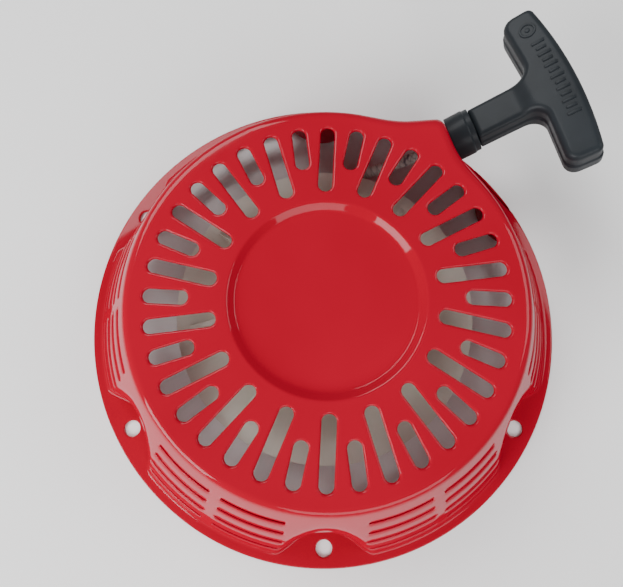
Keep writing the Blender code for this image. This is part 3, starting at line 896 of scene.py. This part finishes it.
        shell = made.modifiers.new("sheet", "SOLIDIFY")
        shell.thickness = self.sheet
        shell.offset = -1
        baked(made)
        neck, seat = self.guide_hole, self.guide_seat
        inside, outside = -0.008, 0.006
        bore = turned(((0, inside), (neck, inside), (neck, 0), (seat, 0), (seat, outside), (0, outside)),
                      64, False)
        joined(made, moved(bore, pull.along()), "DIFFERENCE")
        paint.give("housing", "housing", Slot.ENAMEL, made, sharp=42)


# ---------------------------------------------------------------- grip and guide

@dataclass
class Grip:
    """The T grip in two moulded halves, with a rope bore, a knot pocket and a raised mark."""

    turn: float = math.radians(-6)
    stem_start: float = 0.0110
    stem_half: float = 0.0081
    stem_height: float = 0.0056
    bar_height: float = 0.0076
    fillet: float = 0.0060
    inner: float = 0.0372
    inner_end: float = 0.0363
    outer: float = 0.0537
    outer_end: float = 0.0508
    half_length: float = 0.0369
    corner: float = 0.0050
    tight: float = 0.0030
    parting: float = 0.0005
    upper_round: float = 0.0024
    lower_round: float = 0.0032
    shoulder: float = 0.0085
    crown: float = 0.0003
    rope_bore: float = 0.0030
    knot_bore: float = 0.0048
    voxel: float = 0.00042
    knot_start: float = 0.0405
    mark_height: float = 0.0005

    def outline(self, inset: float) -> list[Point2]:
        """The T's outline, drawn in by an inset."""
        stem, corner, tight = self.stem_half - inset, self.corner, self.tight
        length, fillet = self.half_length - inset, self.fillet
        inner, inner_end = self.inner + inset, self.inner_end + inset
        outer, outer_end = self.outer - inset, self.outer_end - inset
        half = [(self.stem_start, stem)]
        half += arc((inner - fillet, stem + fillet), fillet, -90, 0, 8)
        half += arc((inner_end + corner, length - corner), corner, 180, 90, 8)
        half += arc((outer_end - tight, length - tight), tight, 90, 0, 6)
        straight = length - tight
        half += [(outer_end + (outer - outer_end) * (1 - (i / 10) ** 2), straight * i / 10)
                 for i in range(9, 0, -1)]
        return half + [(outer, 0.0)] + [(x, -y) for x, y in reversed(half)]

    def half(self, inset: float, low: float, high: float, rounding: float) -> BMesh:
        """One moulded half, rounded along its far rim."""
        bm = prism(self.outline(inset), low, high)
        far = high if abs(high) > abs(low) else low
        return ease(bm, rounding, 6, lambda e: all(abs(v.co.z - far) < 1e-6 for v in e.verts), 20)

    def shaped(self, made: bpy.types.Object) -> None:
        """Thin the stem and crown the bar."""
        ratio = self.stem_height / self.bar_height
        for vert in made.data.vertices:
            u, v, z = vert.co
            share = smooth((u - self.inner + self.shoulder) / self.shoulder)
            vert.co.z = z * (ratio + (1 - ratio) * share)
            middle = (self.inner_end + self.outer) / 2
            crown = 1 - ((u - middle) / self.shoulder) ** 2
            if abs(z) > 0.0045 and crown > 0 and share > 0.9:
                vert.co.z += math.copysign(self.crown * crown, z)

    def marks(self) -> BMesh:
        """A plain ring with a dot and a row of short raised bars on the bar's upper face."""
        top = self.bar_height + 0.0002
        low, high = top - 0.0010, top + self.mark_height
        ring = turned(((0.0024, low), (0.0033, low), (0.0033, high), (0.0024, high)), 48)
        dot = turned(((0, low), (0.0010, low), (0.0010, high), (0, high)), 24, False)
        spot = Matrix.Translation((0.0446, 0.0262, 0))
        shells = [moved(ease(ring, 0.00018), spot), moved(ease(dot, 0.00018), spot)]
        for i in range(13):
            y = 0.0188 - i * 0.0030
            back = self.outer_end + (self.outer - self.outer_end) * (1 - (y / self.half_length) ** 2)
            x = back - 0.0070
            length = 0.0040 if i % 2 else 0.0052
            bar = prism(((x - length / 2, y - 0.0006), (x + length / 2, y - 0.0006),
                         (x + length / 2, y + 0.0006), (x - length / 2, y + 0.0006)), low, high)
            shells.append(ease(bar, 0.00022))
        return poured(shells[0], *shells[1:])

    def build(self, paint: Paint, pull: Pull) -> None:
        """Mould the grip and its washer."""
        upper = self.half(self.parting, -0.0004, self.bar_height, self.upper_round)
        lower = self.half(0.0, -self.bar_height, 0.0, self.lower_round)
        made = mesh_object("grip_blank", poured(upper, lower))
        weld = made.modifiers.new("weld", "REMESH")
        weld.mode = "VOXEL"
        weld.voxel_size = self.voxel
        baked(made)
        self.shaped(made)
        soften = made.modifiers.new("soften", "SMOOTH")
        soften.factor = 0.5
        soften.iterations = 5
        baked(made)
        made.data.transform(pull.frame(self.turn))
        rope, knot, mouth = self.rope_bore, self.knot_bore, self.knot_bore + 0.0006
        bore = turned(((0, 0.005), (rope, 0.005), (rope, self.knot_start), (knot, self.knot_start),
                       (knot, 0.056), (mouth, 0.0565), (mouth, 0.065), (0, 0.065)), 48, False)
        joined(made, moved(bore, pull.along()), "DIFFERENCE")
        bm = bmesh.new()
        bm.from_mesh(made.data)
        whole = poured(bm, moved(self.marks(), pull.frame(self.turn)))
        whole.to_mesh(made.data)
        whole.free()
        paint.give("grip", "grip", Slot.POLYMER, made, sharp=60)
        low, high = self.knot_start + 0.0003, self.knot_start + 0.0018
        washer = ease(turned(((0.0029, low), (0.0044, low), (0.0044, high), (0.0029, high)), 48), 0.0002)
        paint.give("grip_washer", "grip", Slot.ZINC, mesh_object("washer", moved(washer, pull.along())))


@dataclass
class Guide:
    """The bush on the spout's end: a collar outside, a neck through the wall and a lip inside."""

    collar: float = 0.0101
    neck: float = 0.0070
    lip: float = 0.0077
    bore: float = 0.0034
    start: float = -0.0060
    lip_end: float = -0.0036
    end: float = 0.0107
    bell: float = 0.0020
    seat_gap: float = 0.0003
    band: float = 0.0026
    band_step: float = 0.0004
    edge: float = 0.0006

    def build(self, paint: Paint, pull: Pull) -> None:
        """Turn and ease the bush."""
        seat, step = self.seat_gap, self.band_step
        profile = [(self.lip, self.start), (self.lip, self.lip_end), (self.neck, self.lip_end),
                   (self.neck, seat), (self.collar, seat), (self.collar, self.end - self.band),
                   (self.collar - step, self.end - self.band + step), (self.collar - step, self.end),
                   (self.bore + self.bell, self.end)]
        profile += arc((self.bore + self.bell, self.end - self.bell), self.bell, 90, 180, 6)[1:]
        profile += arc((self.bore + self.bell, self.start + self.bell), self.bell, 180, 270, 6)
        bush = ease(turned(profile, 96), self.edge, 3)
        paint.give("rope_guide", "housing", Slot.POLYMER, mesh_object("bush", moved(bush, pull.along())))


# ---------------------------------------------------------------- rope

@dataclass
class RopeWork:
    """The rope's turns, its run to the grip and the knots at its ends."""

    radius: float = 0.0025
    sides: int = 20
    run_first: float = 0.027
    run_steps: int = 70
    past_washer: float = 0.0024
    knot_depth: float = 0.0070
    grip_knot: float = 0.0039
    reel_knot: float = 0.0030
    reel_end: Vector = field(default_factory=lambda: Vector((0, -0.045, 0.0144)))
    layers: int = 4
    wound_radii: Point2 = (0.0392, 0.0592)
    wound_heights: Point2 = (0.0207, 0.0269)
    braid: Rope = field(default_factory=Rope)

    def run(self, paint: Paint, pull: Pull, grip: Grip) -> None:
        """Sweep the run between the guide and the grip."""
        last = pull.reach + (grip.knot_start + self.past_washer) * math.cos(pull.rise)
        points = [pull.rope_point(self.run_first + (last - self.run_first) * i / self.run_steps)
                  for i in range(self.run_steps + 1)]
        bm = bmesh.new()
        ring = bmesh.ops.create_circle(bm, cap_ends=True, segments=self.sides, radius=self.radius)["verts"]
        frames = [self.section(points, i) for i in range(len(points))]
        bmesh.ops.transform(bm, matrix=frames[0], verts=ring)
        steps = [after @ before.inverted() for before, after in zip(frames, frames[1:])]
        made = mesh_object("run", drawn(bm, next(iter(bm.faces)), steps))
        paint.give("rope_run", "housing", Slot.ROPE, made, self.braid.straight(pull.frame()))
        made.parent = None
        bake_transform(made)

    def section(self, points: Sequence[Vector], index: int) -> Matrix:
        """The placement of the rope's section at one of its points."""
        ahead = points[min(index + 1, len(points) - 1)] - points[max(index - 1, 0)]
        return Matrix.Translation(points[index]) @ ahead.to_track_quat("Z", "Y").to_matrix().to_4x4()

    def knot(self, paint: Paint, node: str, body: str, centre: Vector, reach: float, turn: Matrix) -> None:
        """A pulled-up overhand knot that fills a ball of a given radius."""
        thick = reach * 0.42
        size = (reach - thick) / 3
        steps = 72
        points = []
        for i in range(steps):
            t = TURN * i / steps
            spot = Vector((math.sin(t) + 2 * math.sin(2 * t), math.cos(t) - 2 * math.cos(2 * t),
                           -1.6 * math.sin(3 * t))) * size
            points.append(spot)
        curve = bpy.data.curves.new("knot", "CURVE")
        curve.dimensions = "3D"
        curve.bevel_depth = thick
        curve.bevel_resolution = 4
        spline = curve.splines.new("POLY")
        spline.points.add(steps - 1)
        for target, spot in zip(spline.points, points):
            target.co = (*(centre + turn @ spot), 1)
        spline.use_cyclic_u = True
        holder = bpy.data.objects.new("knot", curve)
        bpy.context.scene.collection.objects.link(holder)
        graph = bpy.context.evaluated_depsgraph_get()
        mesh = bpy.data.meshes.new_from_object(holder.evaluated_get(graph))
        bpy.data.objects.remove(holder)
        made = bpy.data.objects.new(node, mesh)
        bpy.context.scene.collection.objects.link(made)
        along = Matrix.Translation(centre) @ turn.to_4x4()
        paint.give(node, body, Slot.ROPE, made, self.braid.straight(along))

    def winding(self, paint: Paint) -> None:
        """The turns in the reel's groove: full rounds of rope side by side and a smooth core."""
        inner, outer = self.wound_radii
        low, high = self.wound_heights
        middle = (low + high) / 2
        profile = [(inner, low)]
        thick = (outer - inner) / self.layers
        for i in range(self.layers):
            reach = inner + thick * (i + 0.5)
            profile += arc((reach, low + thick * 0.28), thick * 0.5, 180, 360, 8)[1:]
        profile = [(r, max(low, z)) for r, z in profile]
        profile += arc((outer - self.radius, middle), self.radius, -60, 60, 10)
        profile += [(outer - self.radius * 0.9, high), (inner, high)]
        made = mesh_object("winding", turned(profile, 192))
        paint.give("rope_winding", "reel", Slot.ROPE, made, self.braid.wound(outer - self.radius, middle))

    def build(self, paint: Paint, pull: Pull, grip: Grip) -> None:
        """Make all of the rope."""
        self.run(paint, pull, grip)
        self.winding(paint)
        along = pull.frame()
        end = along @ Vector((grip.knot_start + self.knot_depth, 0, 0))
        turn = along.to_3x3() @ Matrix.Rotation(math.pi / 2, 3, "Y")
        self.knot(paint, "rope_knot_grip", "grip", end, self.grip_knot, turn)
        self.knot(paint, "rope_knot_reel", "reel", self.reel_end, self.reel_knot, Matrix.Identity(3))


# ---------------------------------------------------------------- reel and spring

@dataclass
class Reel:
    """The nylon reel, the post it turns on, the plate over it and the rewind spring in its cup."""

    post: float = 0.008
    rim: float = 0.064
    rear_z: float = 0.016
    front_z: float = 0.0298
    rim_rear_z: float = 0.0178
    groove: float = 0.0388
    cup: float = 0.036
    cup_floor: float = 0.041
    cup_top: float = 0.0545
    hub_top: float = 0.0542
    ribs: int = 8
    rib: float = 0.0022
    pivot: float = 0.022
    pin: float = 0.0025
    pin_end: float = 0.0092
    hub: Point2 = (0.0106, 0.0108)
    groove_rear: Point2 = (0.0204, 0.0200)
    groove_front: Point2 = (0.0276, 0.0272)
    under_radii: Point2 = (0.0295, 0.0363)
    under_top: float = 0.0385
    rib_reach: float = 0.058
    gap: float = 0.0003
    spring_turns: int = 5
    spring_heights: Point2 = (0.0425, 0.0535)
    spring_inner: float = 0.0145
    spring_outer: float = 0.0335
    strip: float = 0.0009

    def reel(self, paint: Paint) -> None:
        """Turn the reel, then weld on its ribs and pins."""
        bore = self.post + self.gap
        inner, outer = self.under_radii
        profile = ((bore, self.rear_z), (bore, self.hub_top), (self.hub[0], self.hub_top),
                   (self.hub[1], self.cup_floor), (self.cup, self.cup_floor), (self.cup, self.cup_top),
                   (self.groove, self.cup_top), (self.groove, self.front_z), (self.rim, self.front_z),
                   (self.rim, self.groove_front[0]), (self.groove, self.groove_front[1]),
                   (self.groove, self.groove_rear[0]), (self.rim, self.groove_rear[1]),
                   (self.rim, self.rim_rear_z), (self.groove, self.rim_rear_z), (self.groove, self.rear_z),
                   (outer, self.rear_z), (outer, self.under_top), (inner, self.under_top),
                   (inner, self.rear_z))
        made = mesh_object("reel", ease(turned(profile, 160), 0.0006, 2))
        tools = []
        for i in range(self.ribs):
            turn = Matrix.Rotation(TURN * (i + 0.5) / self.ribs, 4, "Z")
            turn = turn @ Matrix.Rotation(math.pi / 2, 4, "X")
            side = ((self.groove - 0.001, self.front_z - 0.001), (self.rib_reach, self.front_z - 0.001),
                    (self.rib_reach, self.front_z + 0.001), (self.groove - 0.001, 0.044))
            tools.append(moved(ease(prism(side, -self.rib / 2, self.rib / 2), 0.0004, 2), turn))
            web = ((0.0290, self.rear_z + 0.0012), (0.0368, self.rear_z + 0.0012),
                   (0.0368, 0.0390), (0.0290, 0.0390))
            tools.append(moved(prism(web, -0.0009, 0.0009), turn))
        for x in (-self.pivot, self.pivot):
            pin = turned(((0, self.pin_end), (self.pin, self.pin_end), (self.pin, self.rear_z + 0.002),
                          (0, self.rear_z + 0.002)), 40, False)
            tools.append(moved(ease(pin, 0.0003), Matrix.Translation((x, 0, 0))))
        joined(made, poured(tools[0], *tools[1:]), "UNION")
        paint.give("reel", "reel", Slot.NYLON, made)

    def spring(self, paint: Paint) -> None:
        """Coil the strip by drawing its section round the post."""
        low, high = self.spring_heights
        steps = self.spring_turns * 48
        bm = bmesh.new()
        chain(bm, ((0, 0, low), (self.strip, 0, low), (self.strip, 0, high), (0, 0, high)), True)
        face = bmesh.ops.contextual_create(bm, geom=bm.edges)["faces"][0]
        bmesh.ops.translate(bm, verts=bm.verts, vec=(self.spring_inner, 0, 0))
        growth = (self.spring_outer - self.spring_inner) / steps
        turn = TURN * self.spring_turns / steps
        moves = []
        for i in range(steps):
            heading = Vector((math.cos(turn * (i + 1)), math.sin(turn * (i + 1)), 0))
            moves.append(Matrix.Translation(heading * growth) @ Matrix.Rotation(turn, 4, "Z"))
        paint.give("starter_spring", "housing", Slot.SPRING, mesh_object("spring", drawn(bm, face, moves)))

    def post_and_plate(self, paint: Paint) -> None:
        """The welded plate with its anchor tab, the riveted post and the washer below the plate."""
        inner, plate_z, top = self.post + self.gap, 0.0559, 0.0579
        plate = ease(turned(((inner, plate_z), (0.024, plate_z), (0.024, top), (inner, top)), 96), 0.0004, 2)
        made = mesh_object("plate", plate)
        tab = arc((0, 0), 0.0131, -16, 16, 6) + arc((0, 0), 0.0113, 16, -16, 6)
        joined(made, ease(prism(tab, 0.044, plate_z + 0.001), 0.0003), "UNION")
        paint.give("post_plate", "housing", Slot.ZINC, made)
        foot = 0.0093
        post = turned(((0, 0.0235), (0.0043, 0.0235), (0.0043, foot), (self.post, foot), (self.post, top),
                       (0, top)), 72, False)
        paint.give("centre_post", "housing", Slot.ZINC, mesh_object("post", ease(post, 0.0005, 2)))
        low, high = self.hub_top + self.gap, plate_z - self.gap
        washer = turned(((inner, low), (0.0105, low), (0.0105, high), (inner, high)), 64)
        paint.give("thrust_washer", "housing", Slot.ZINC, mesh_object("thrust", ease(washer, 0.0002)))

    def build(self, paint: Paint) -> None:
        """Make the reel, its spring and what they turn on."""
        self.reel(paint)
        self.spring(paint)
        self.post_and_plate(paint)


# ---------------------------------------------------------------- ratchet

@dataclass
class Ratchet:
    """Two pawls with pegs, the slotted guide that throws them, its drag spring and the screw."""

    pivot: float = 0.022
    pin: float = 0.0025
    pawl_low: float = 0.0094
    pawl_high: float = 0.0128
    pawl_length: float = 0.017
    peg: float = 0.0014
    peg_reach: Point2 = (-0.001, 0.009)
    pawl_swing: float = math.radians(-30)
    guide_swing: float = math.radians(-25)
    guide_low: float = 0.0066
    guide_high: float = 0.0086
    guide_radius: float = 0.030
    guide_bore: float = 0.0063
    neck_radius: float = 0.010
    neck_z: float = 0.0047

    def pawls(self, paint: Paint) -> None:
        """Stamp the pawls and wind their return coils."""
        outline = arc((0, 0), 0.0048, 140, 400, 24)
        outline += [(0.0031, 0.010), (0.0036, self.pawl_length),
                    (-0.0012, self.pawl_length - 0.0012), (-0.0031, 0.009)]
        for name, turn in (("a", 0.0), ("b", math.pi)):
            spin = Matrix.Rotation(turn, 4, "Z")
            place = Matrix.Translation(spin @ Vector((self.pivot, 0, 0))) @ spin
            blank = ease(prism(outline, self.pawl_low, self.pawl_high), 0.00035, 2, corner=60)
            made = mesh_object("pawl", moved(blank, place))
            hole = turned(((0, 0.006), (self.pin + 0.0003, 0.006), (self.pin + 0.0003, 0.016), (0, 0.016)),
                          48, False)
            joined(made, moved(hole, place), "DIFFERENCE")
            peg = turned(((0, self.guide_low + 0.0003), (self.peg, self.guide_low + 0.0003),
                          (self.peg, self.pawl_low + 0.001), (0, self.pawl_low + 0.001)), 32, False)
            spot = place @ Matrix.Translation((*self.peg_reach, 0))
            joined(made, moved(ease(peg, 0.0002), spot), "UNION")
            paint.give(f"pawl_{name}", f"pawl_{name}", Slot.ZINC, made)
            self.coil(f"pawl_spring_{name}", place, paint)

    def coil(self, node: str, place: Matrix, paint: Paint) -> None:
        """A few turns of wire between a pawl and the reel."""
        wire, turns, per_turn = 0.00032, 3, 20
        low, high = self.pawl_high + 0.0003 + wire, 0.0157 - wire
        reach = self.pin + 0.0004 + 0.00065
        bm = bmesh.new()
        verts = bmesh.ops.create_circle(bm, cap_ends=True, segments=10, radius=wire)["verts"]
        bmesh.ops.rotate(bm, verts=verts, cent=(0, 0, 0), matrix=Matrix.Rotation(math.pi / 2, 3, "X"))
        bmesh.ops.translate(bm, verts=verts, vec=(reach, 0, low))
        count = turns * per_turn
        rise = Matrix.Translation((0, 0, (high - low) / count)) @ Matrix.Rotation(TURN / per_turn, 4, "Z")
        drawn(bm, next(iter(bm.faces)), [rise] * count)
        paint.give(node, "reel", Slot.SPRING, mesh_object("coil", moved(bm, place)))

    def peg_track(self) -> BMesh:
        """The slot that a peg runs in while the guide lags behind the reel."""
        discs = []
        steps = 12
        for i in range(steps + 1):
            share = i / steps
            peg = Matrix.Rotation(self.pawl_swing * share, 2) @ Vector(self.peg_reach)
            peg += Vector((self.pivot, 0))
            peg = Matrix.Rotation(-self.guide_swing * share, 2) @ peg
            discs.append(peg)
        reach = self.peg + 0.0005
        headings = [(b - a).normalized() for a, b in zip(discs, discs[1:])]
        headings.append(headings[-1])
        left = [(p.x - h.y * reach, p.y + h.x * reach) for p, h in zip(discs, headings)]
        right = [(p.x + h.y * reach, p.y - h.x * reach) for p, h in zip(discs, headings)]
        first = math.degrees(math.atan2(headings[0].y, headings[0].x))
        last = math.degrees(math.atan2(headings[-1].y, headings[-1].x))
        end_cap = arc(tuple(discs[-1]), reach, last + 90, last - 90, 10)[1:-1]
        start_cap = arc(tuple(discs[0]), reach, first - 90, first - 270, 10)[1:-1]
        return prism(left + end_cap + right[::-1] + start_cap, 0.005, 0.0095)

    def guide(self, paint: Paint) -> None:
        """Turn the guide and cut its two tracks."""
        profile = ((self.guide_bore, self.neck_z), (self.neck_radius, self.neck_z),
                   (self.neck_radius, self.guide_low), (self.guide_radius, self.guide_low),
                   (self.guide_radius, self.guide_high), (self.guide_bore, self.guide_high))
        made = mesh_object("guide", ease(turned(profile, 128), 0.0004, 2))
        track = self.peg_track()
        other = moved(track.copy(), Matrix.Rotation(math.pi, 4, "Z"))
        joined(made, poured(track, other), "DIFFERENCE")
        paint.give("ratchet_guide", "ratchet_guide", Slot.POLYMER, made)

    def drag_spring(self, paint: Paint) -> None:
        """The open ring of wire that grips the guide's neck."""
        low, high = self.neck_z + 0.0002, self.guide_low - 0.0003
        reach, wire = 0.01105, (high - low) / 2
        bm = bmesh.new()
        verts = bmesh.ops.create_circle(bm, cap_ends=True, segments=14, radius=wire)["verts"]
        bmesh.ops.scale(bm, verts=verts, vec=(0.00065 / wire, 1, 1))
        bmesh.ops.rotate(bm, verts=verts, cent=(0, 0, 0), matrix=Matrix.Rotation(math.pi / 2, 3, "X"))
        bmesh.ops.translate(bm, verts=verts, vec=(reach, 0, (low + high) / 2))
        bmesh.ops.rotate(bm, verts=verts, cent=(0, 0, 0), matrix=Matrix.Rotation(math.radians(15), 3, "Z"))
        bmesh.ops.spin(bm, geom=list(bm.faces), cent=(0, 0, 0), axis=(0, 0, 1), dvec=(0, 0, 0),
                       angle=math.radians(330), steps=72, use_merge=False)
        bmesh.ops.recalc_face_normals(bm, faces=bm.faces)
        paint.give("friction_spring", "housing", Slot.SPRING, mesh_object("drag", bm))

    def screw(self, paint: Paint) -> None:
        """The shoulder screw with a cross recess and a threaded end."""
        head_z, head = 0.0014, 0.0075
        shoulder, foot = self.neck_z - 0.0003, 0.0090
        profile = [(0, head_z), (head, head_z), (head, shoulder), (0.0060, shoulder), (0.0060, foot)]
        pitch = 0.0009
        z = foot
        while z + pitch < 0.0225:
            profile += [(0.0040, z + pitch * 0.25), (0.0036, z + pitch * 0.75)]
            z += pitch
        profile += [(0.0036, 0.0225), (0, 0.0225)]
        made = mesh_object("screw", ease(turned(profile, 72, False), 0.0003, 2, corner=50))
        arm = ((-0.0030, -0.0007), (0.0030, -0.0007), (0.0030, 0.0007), (-0.0030, 0.0007))
        for turn in (0.0, math.pi / 2):
            cut = prism(arm, head_z - 0.001, head_z + 0.0018)
            joined(made, moved(cut, Matrix.Rotation(turn + 0.3, 4, "Z")), "DIFFERENCE")
        paint.give("setting_screw", "housing", Slot.ZINC, made)

    def build(self, paint: Paint) -> None:
        """Make the whole ratchet."""
        self.pawls(paint)
        self.guide(paint)
        self.drag_spring(paint)
        self.screw(paint)


# ---------------------------------------------------------------- studio

@dataclass
class Studio:
    """The pale floor, the soft lights and the camera, which looks down from close by."""

    lens: float = 26.0
    eye: Vector = field(default_factory=lambda: Vector((-5.73, -28.95, 222.26)) * MM)
    right: Vector = field(default_factory=lambda: Vector((1, 0.0005, 0.0003)))
    up: Vector = field(default_factory=lambda: Vector((-0.0005, 0.9826, 0.1857)))
    view_turn: float = math.radians(-30)

    def camera(self) -> None:
        """Set the camera up: its right and up are given before the part is turned under it."""
        turn = Matrix.Rotation(self.view_turn, 3, "Z")
        right, up = (turn @ self.right).normalized(), (turn @ self.up).normalized()
        back = right.cross(up)
        data = bpy.data.cameras.new("camera")
        data.lens = self.lens
        data.sensor_width = 36
        data.clip_start = 0.005
        made = bpy.data.objects.new("camera", data)
        facing = Matrix((right, up, back)).transposed().to_4x4()
        made.matrix_world = Matrix.Translation(turn @ self.eye) @ facing
        bpy.context.scene.collection.objects.link(made)
        bpy.context.scene.camera = made

    def floor(self) -> None:
        """A wide pale floor that the flange stands on."""
        bm = bmesh.new()
        bmesh.ops.create_grid(bm, x_segments=2, y_segments=2, size=6)
        bmesh.ops.translate(bm, verts=bm.verts, vec=(0, 0, -0.0002))
        made = mesh_object("floor", bm)
        g = Graph("pale_floor")
        made.data.materials.append(g.dress(Base_Color=(0.93, 0.93, 0.93, 1), Roughness=0.75))

    def light(self, name: str, azimuth: float, elevation: float, distance: float, size: Point2,
              watts: float) -> None:
        """A soft box that faces the part from an azimuth and an elevation in degrees."""
        data = bpy.data.lights.new(name, "AREA")
        data.shape = "RECTANGLE"
        data.size, data.size_y = size
        data.energy = watts
        tilt = Euler((0, math.radians(90 - elevation), math.radians(azimuth))).to_matrix()
        place = tilt @ Vector((0, 0, distance))
        made = bpy.data.objects.new(name, data)
        made.location = place
        made.rotation_euler = (-place).to_track_quat("-Z", "Y").to_euler()
        bpy.context.scene.collection.objects.link(made)

    def build(self) -> None:
        """Set the studio up."""
        self.camera()
        self.floor()
        self.light("key", 188, 27, 1.0, (0.5, 0.5), 10)
        self.light("front", 255, 34, 1.1, (0.9, 0.5), 7)
        self.light("back", 95, 47, 1.2, (0.7, 0.5), 9)
        self.light("right", 345, 45, 1.2, (0.5, 0.5), 4)
        world = bpy.data.worlds.new("studio")
        world.use_nodes = True
        world.node_tree.nodes["Background"].inputs["Color"].default_value = (1, 1, 1, 1)
        world.node_tree.nodes["Background"].inputs["Strength"].default_value = 0.3
        bpy.context.scene.world = world


def main() -> None:
    """Build every sub-assembly in order."""
    logging.basicConfig(level=logging.INFO, format="%(name)s %(message)s")
    pull = Pull()
    paint = Paint()
    grip = Grip()
    Studio().build()
    Housing().build(paint, pull)
    Guide().build(paint, pull)
    grip.build(paint, pull)
    RopeWork().build(paint, pull, grip)
    Reel().build(paint)
    Ratchet().build(paint)


if __name__ == "__main__":
    main()
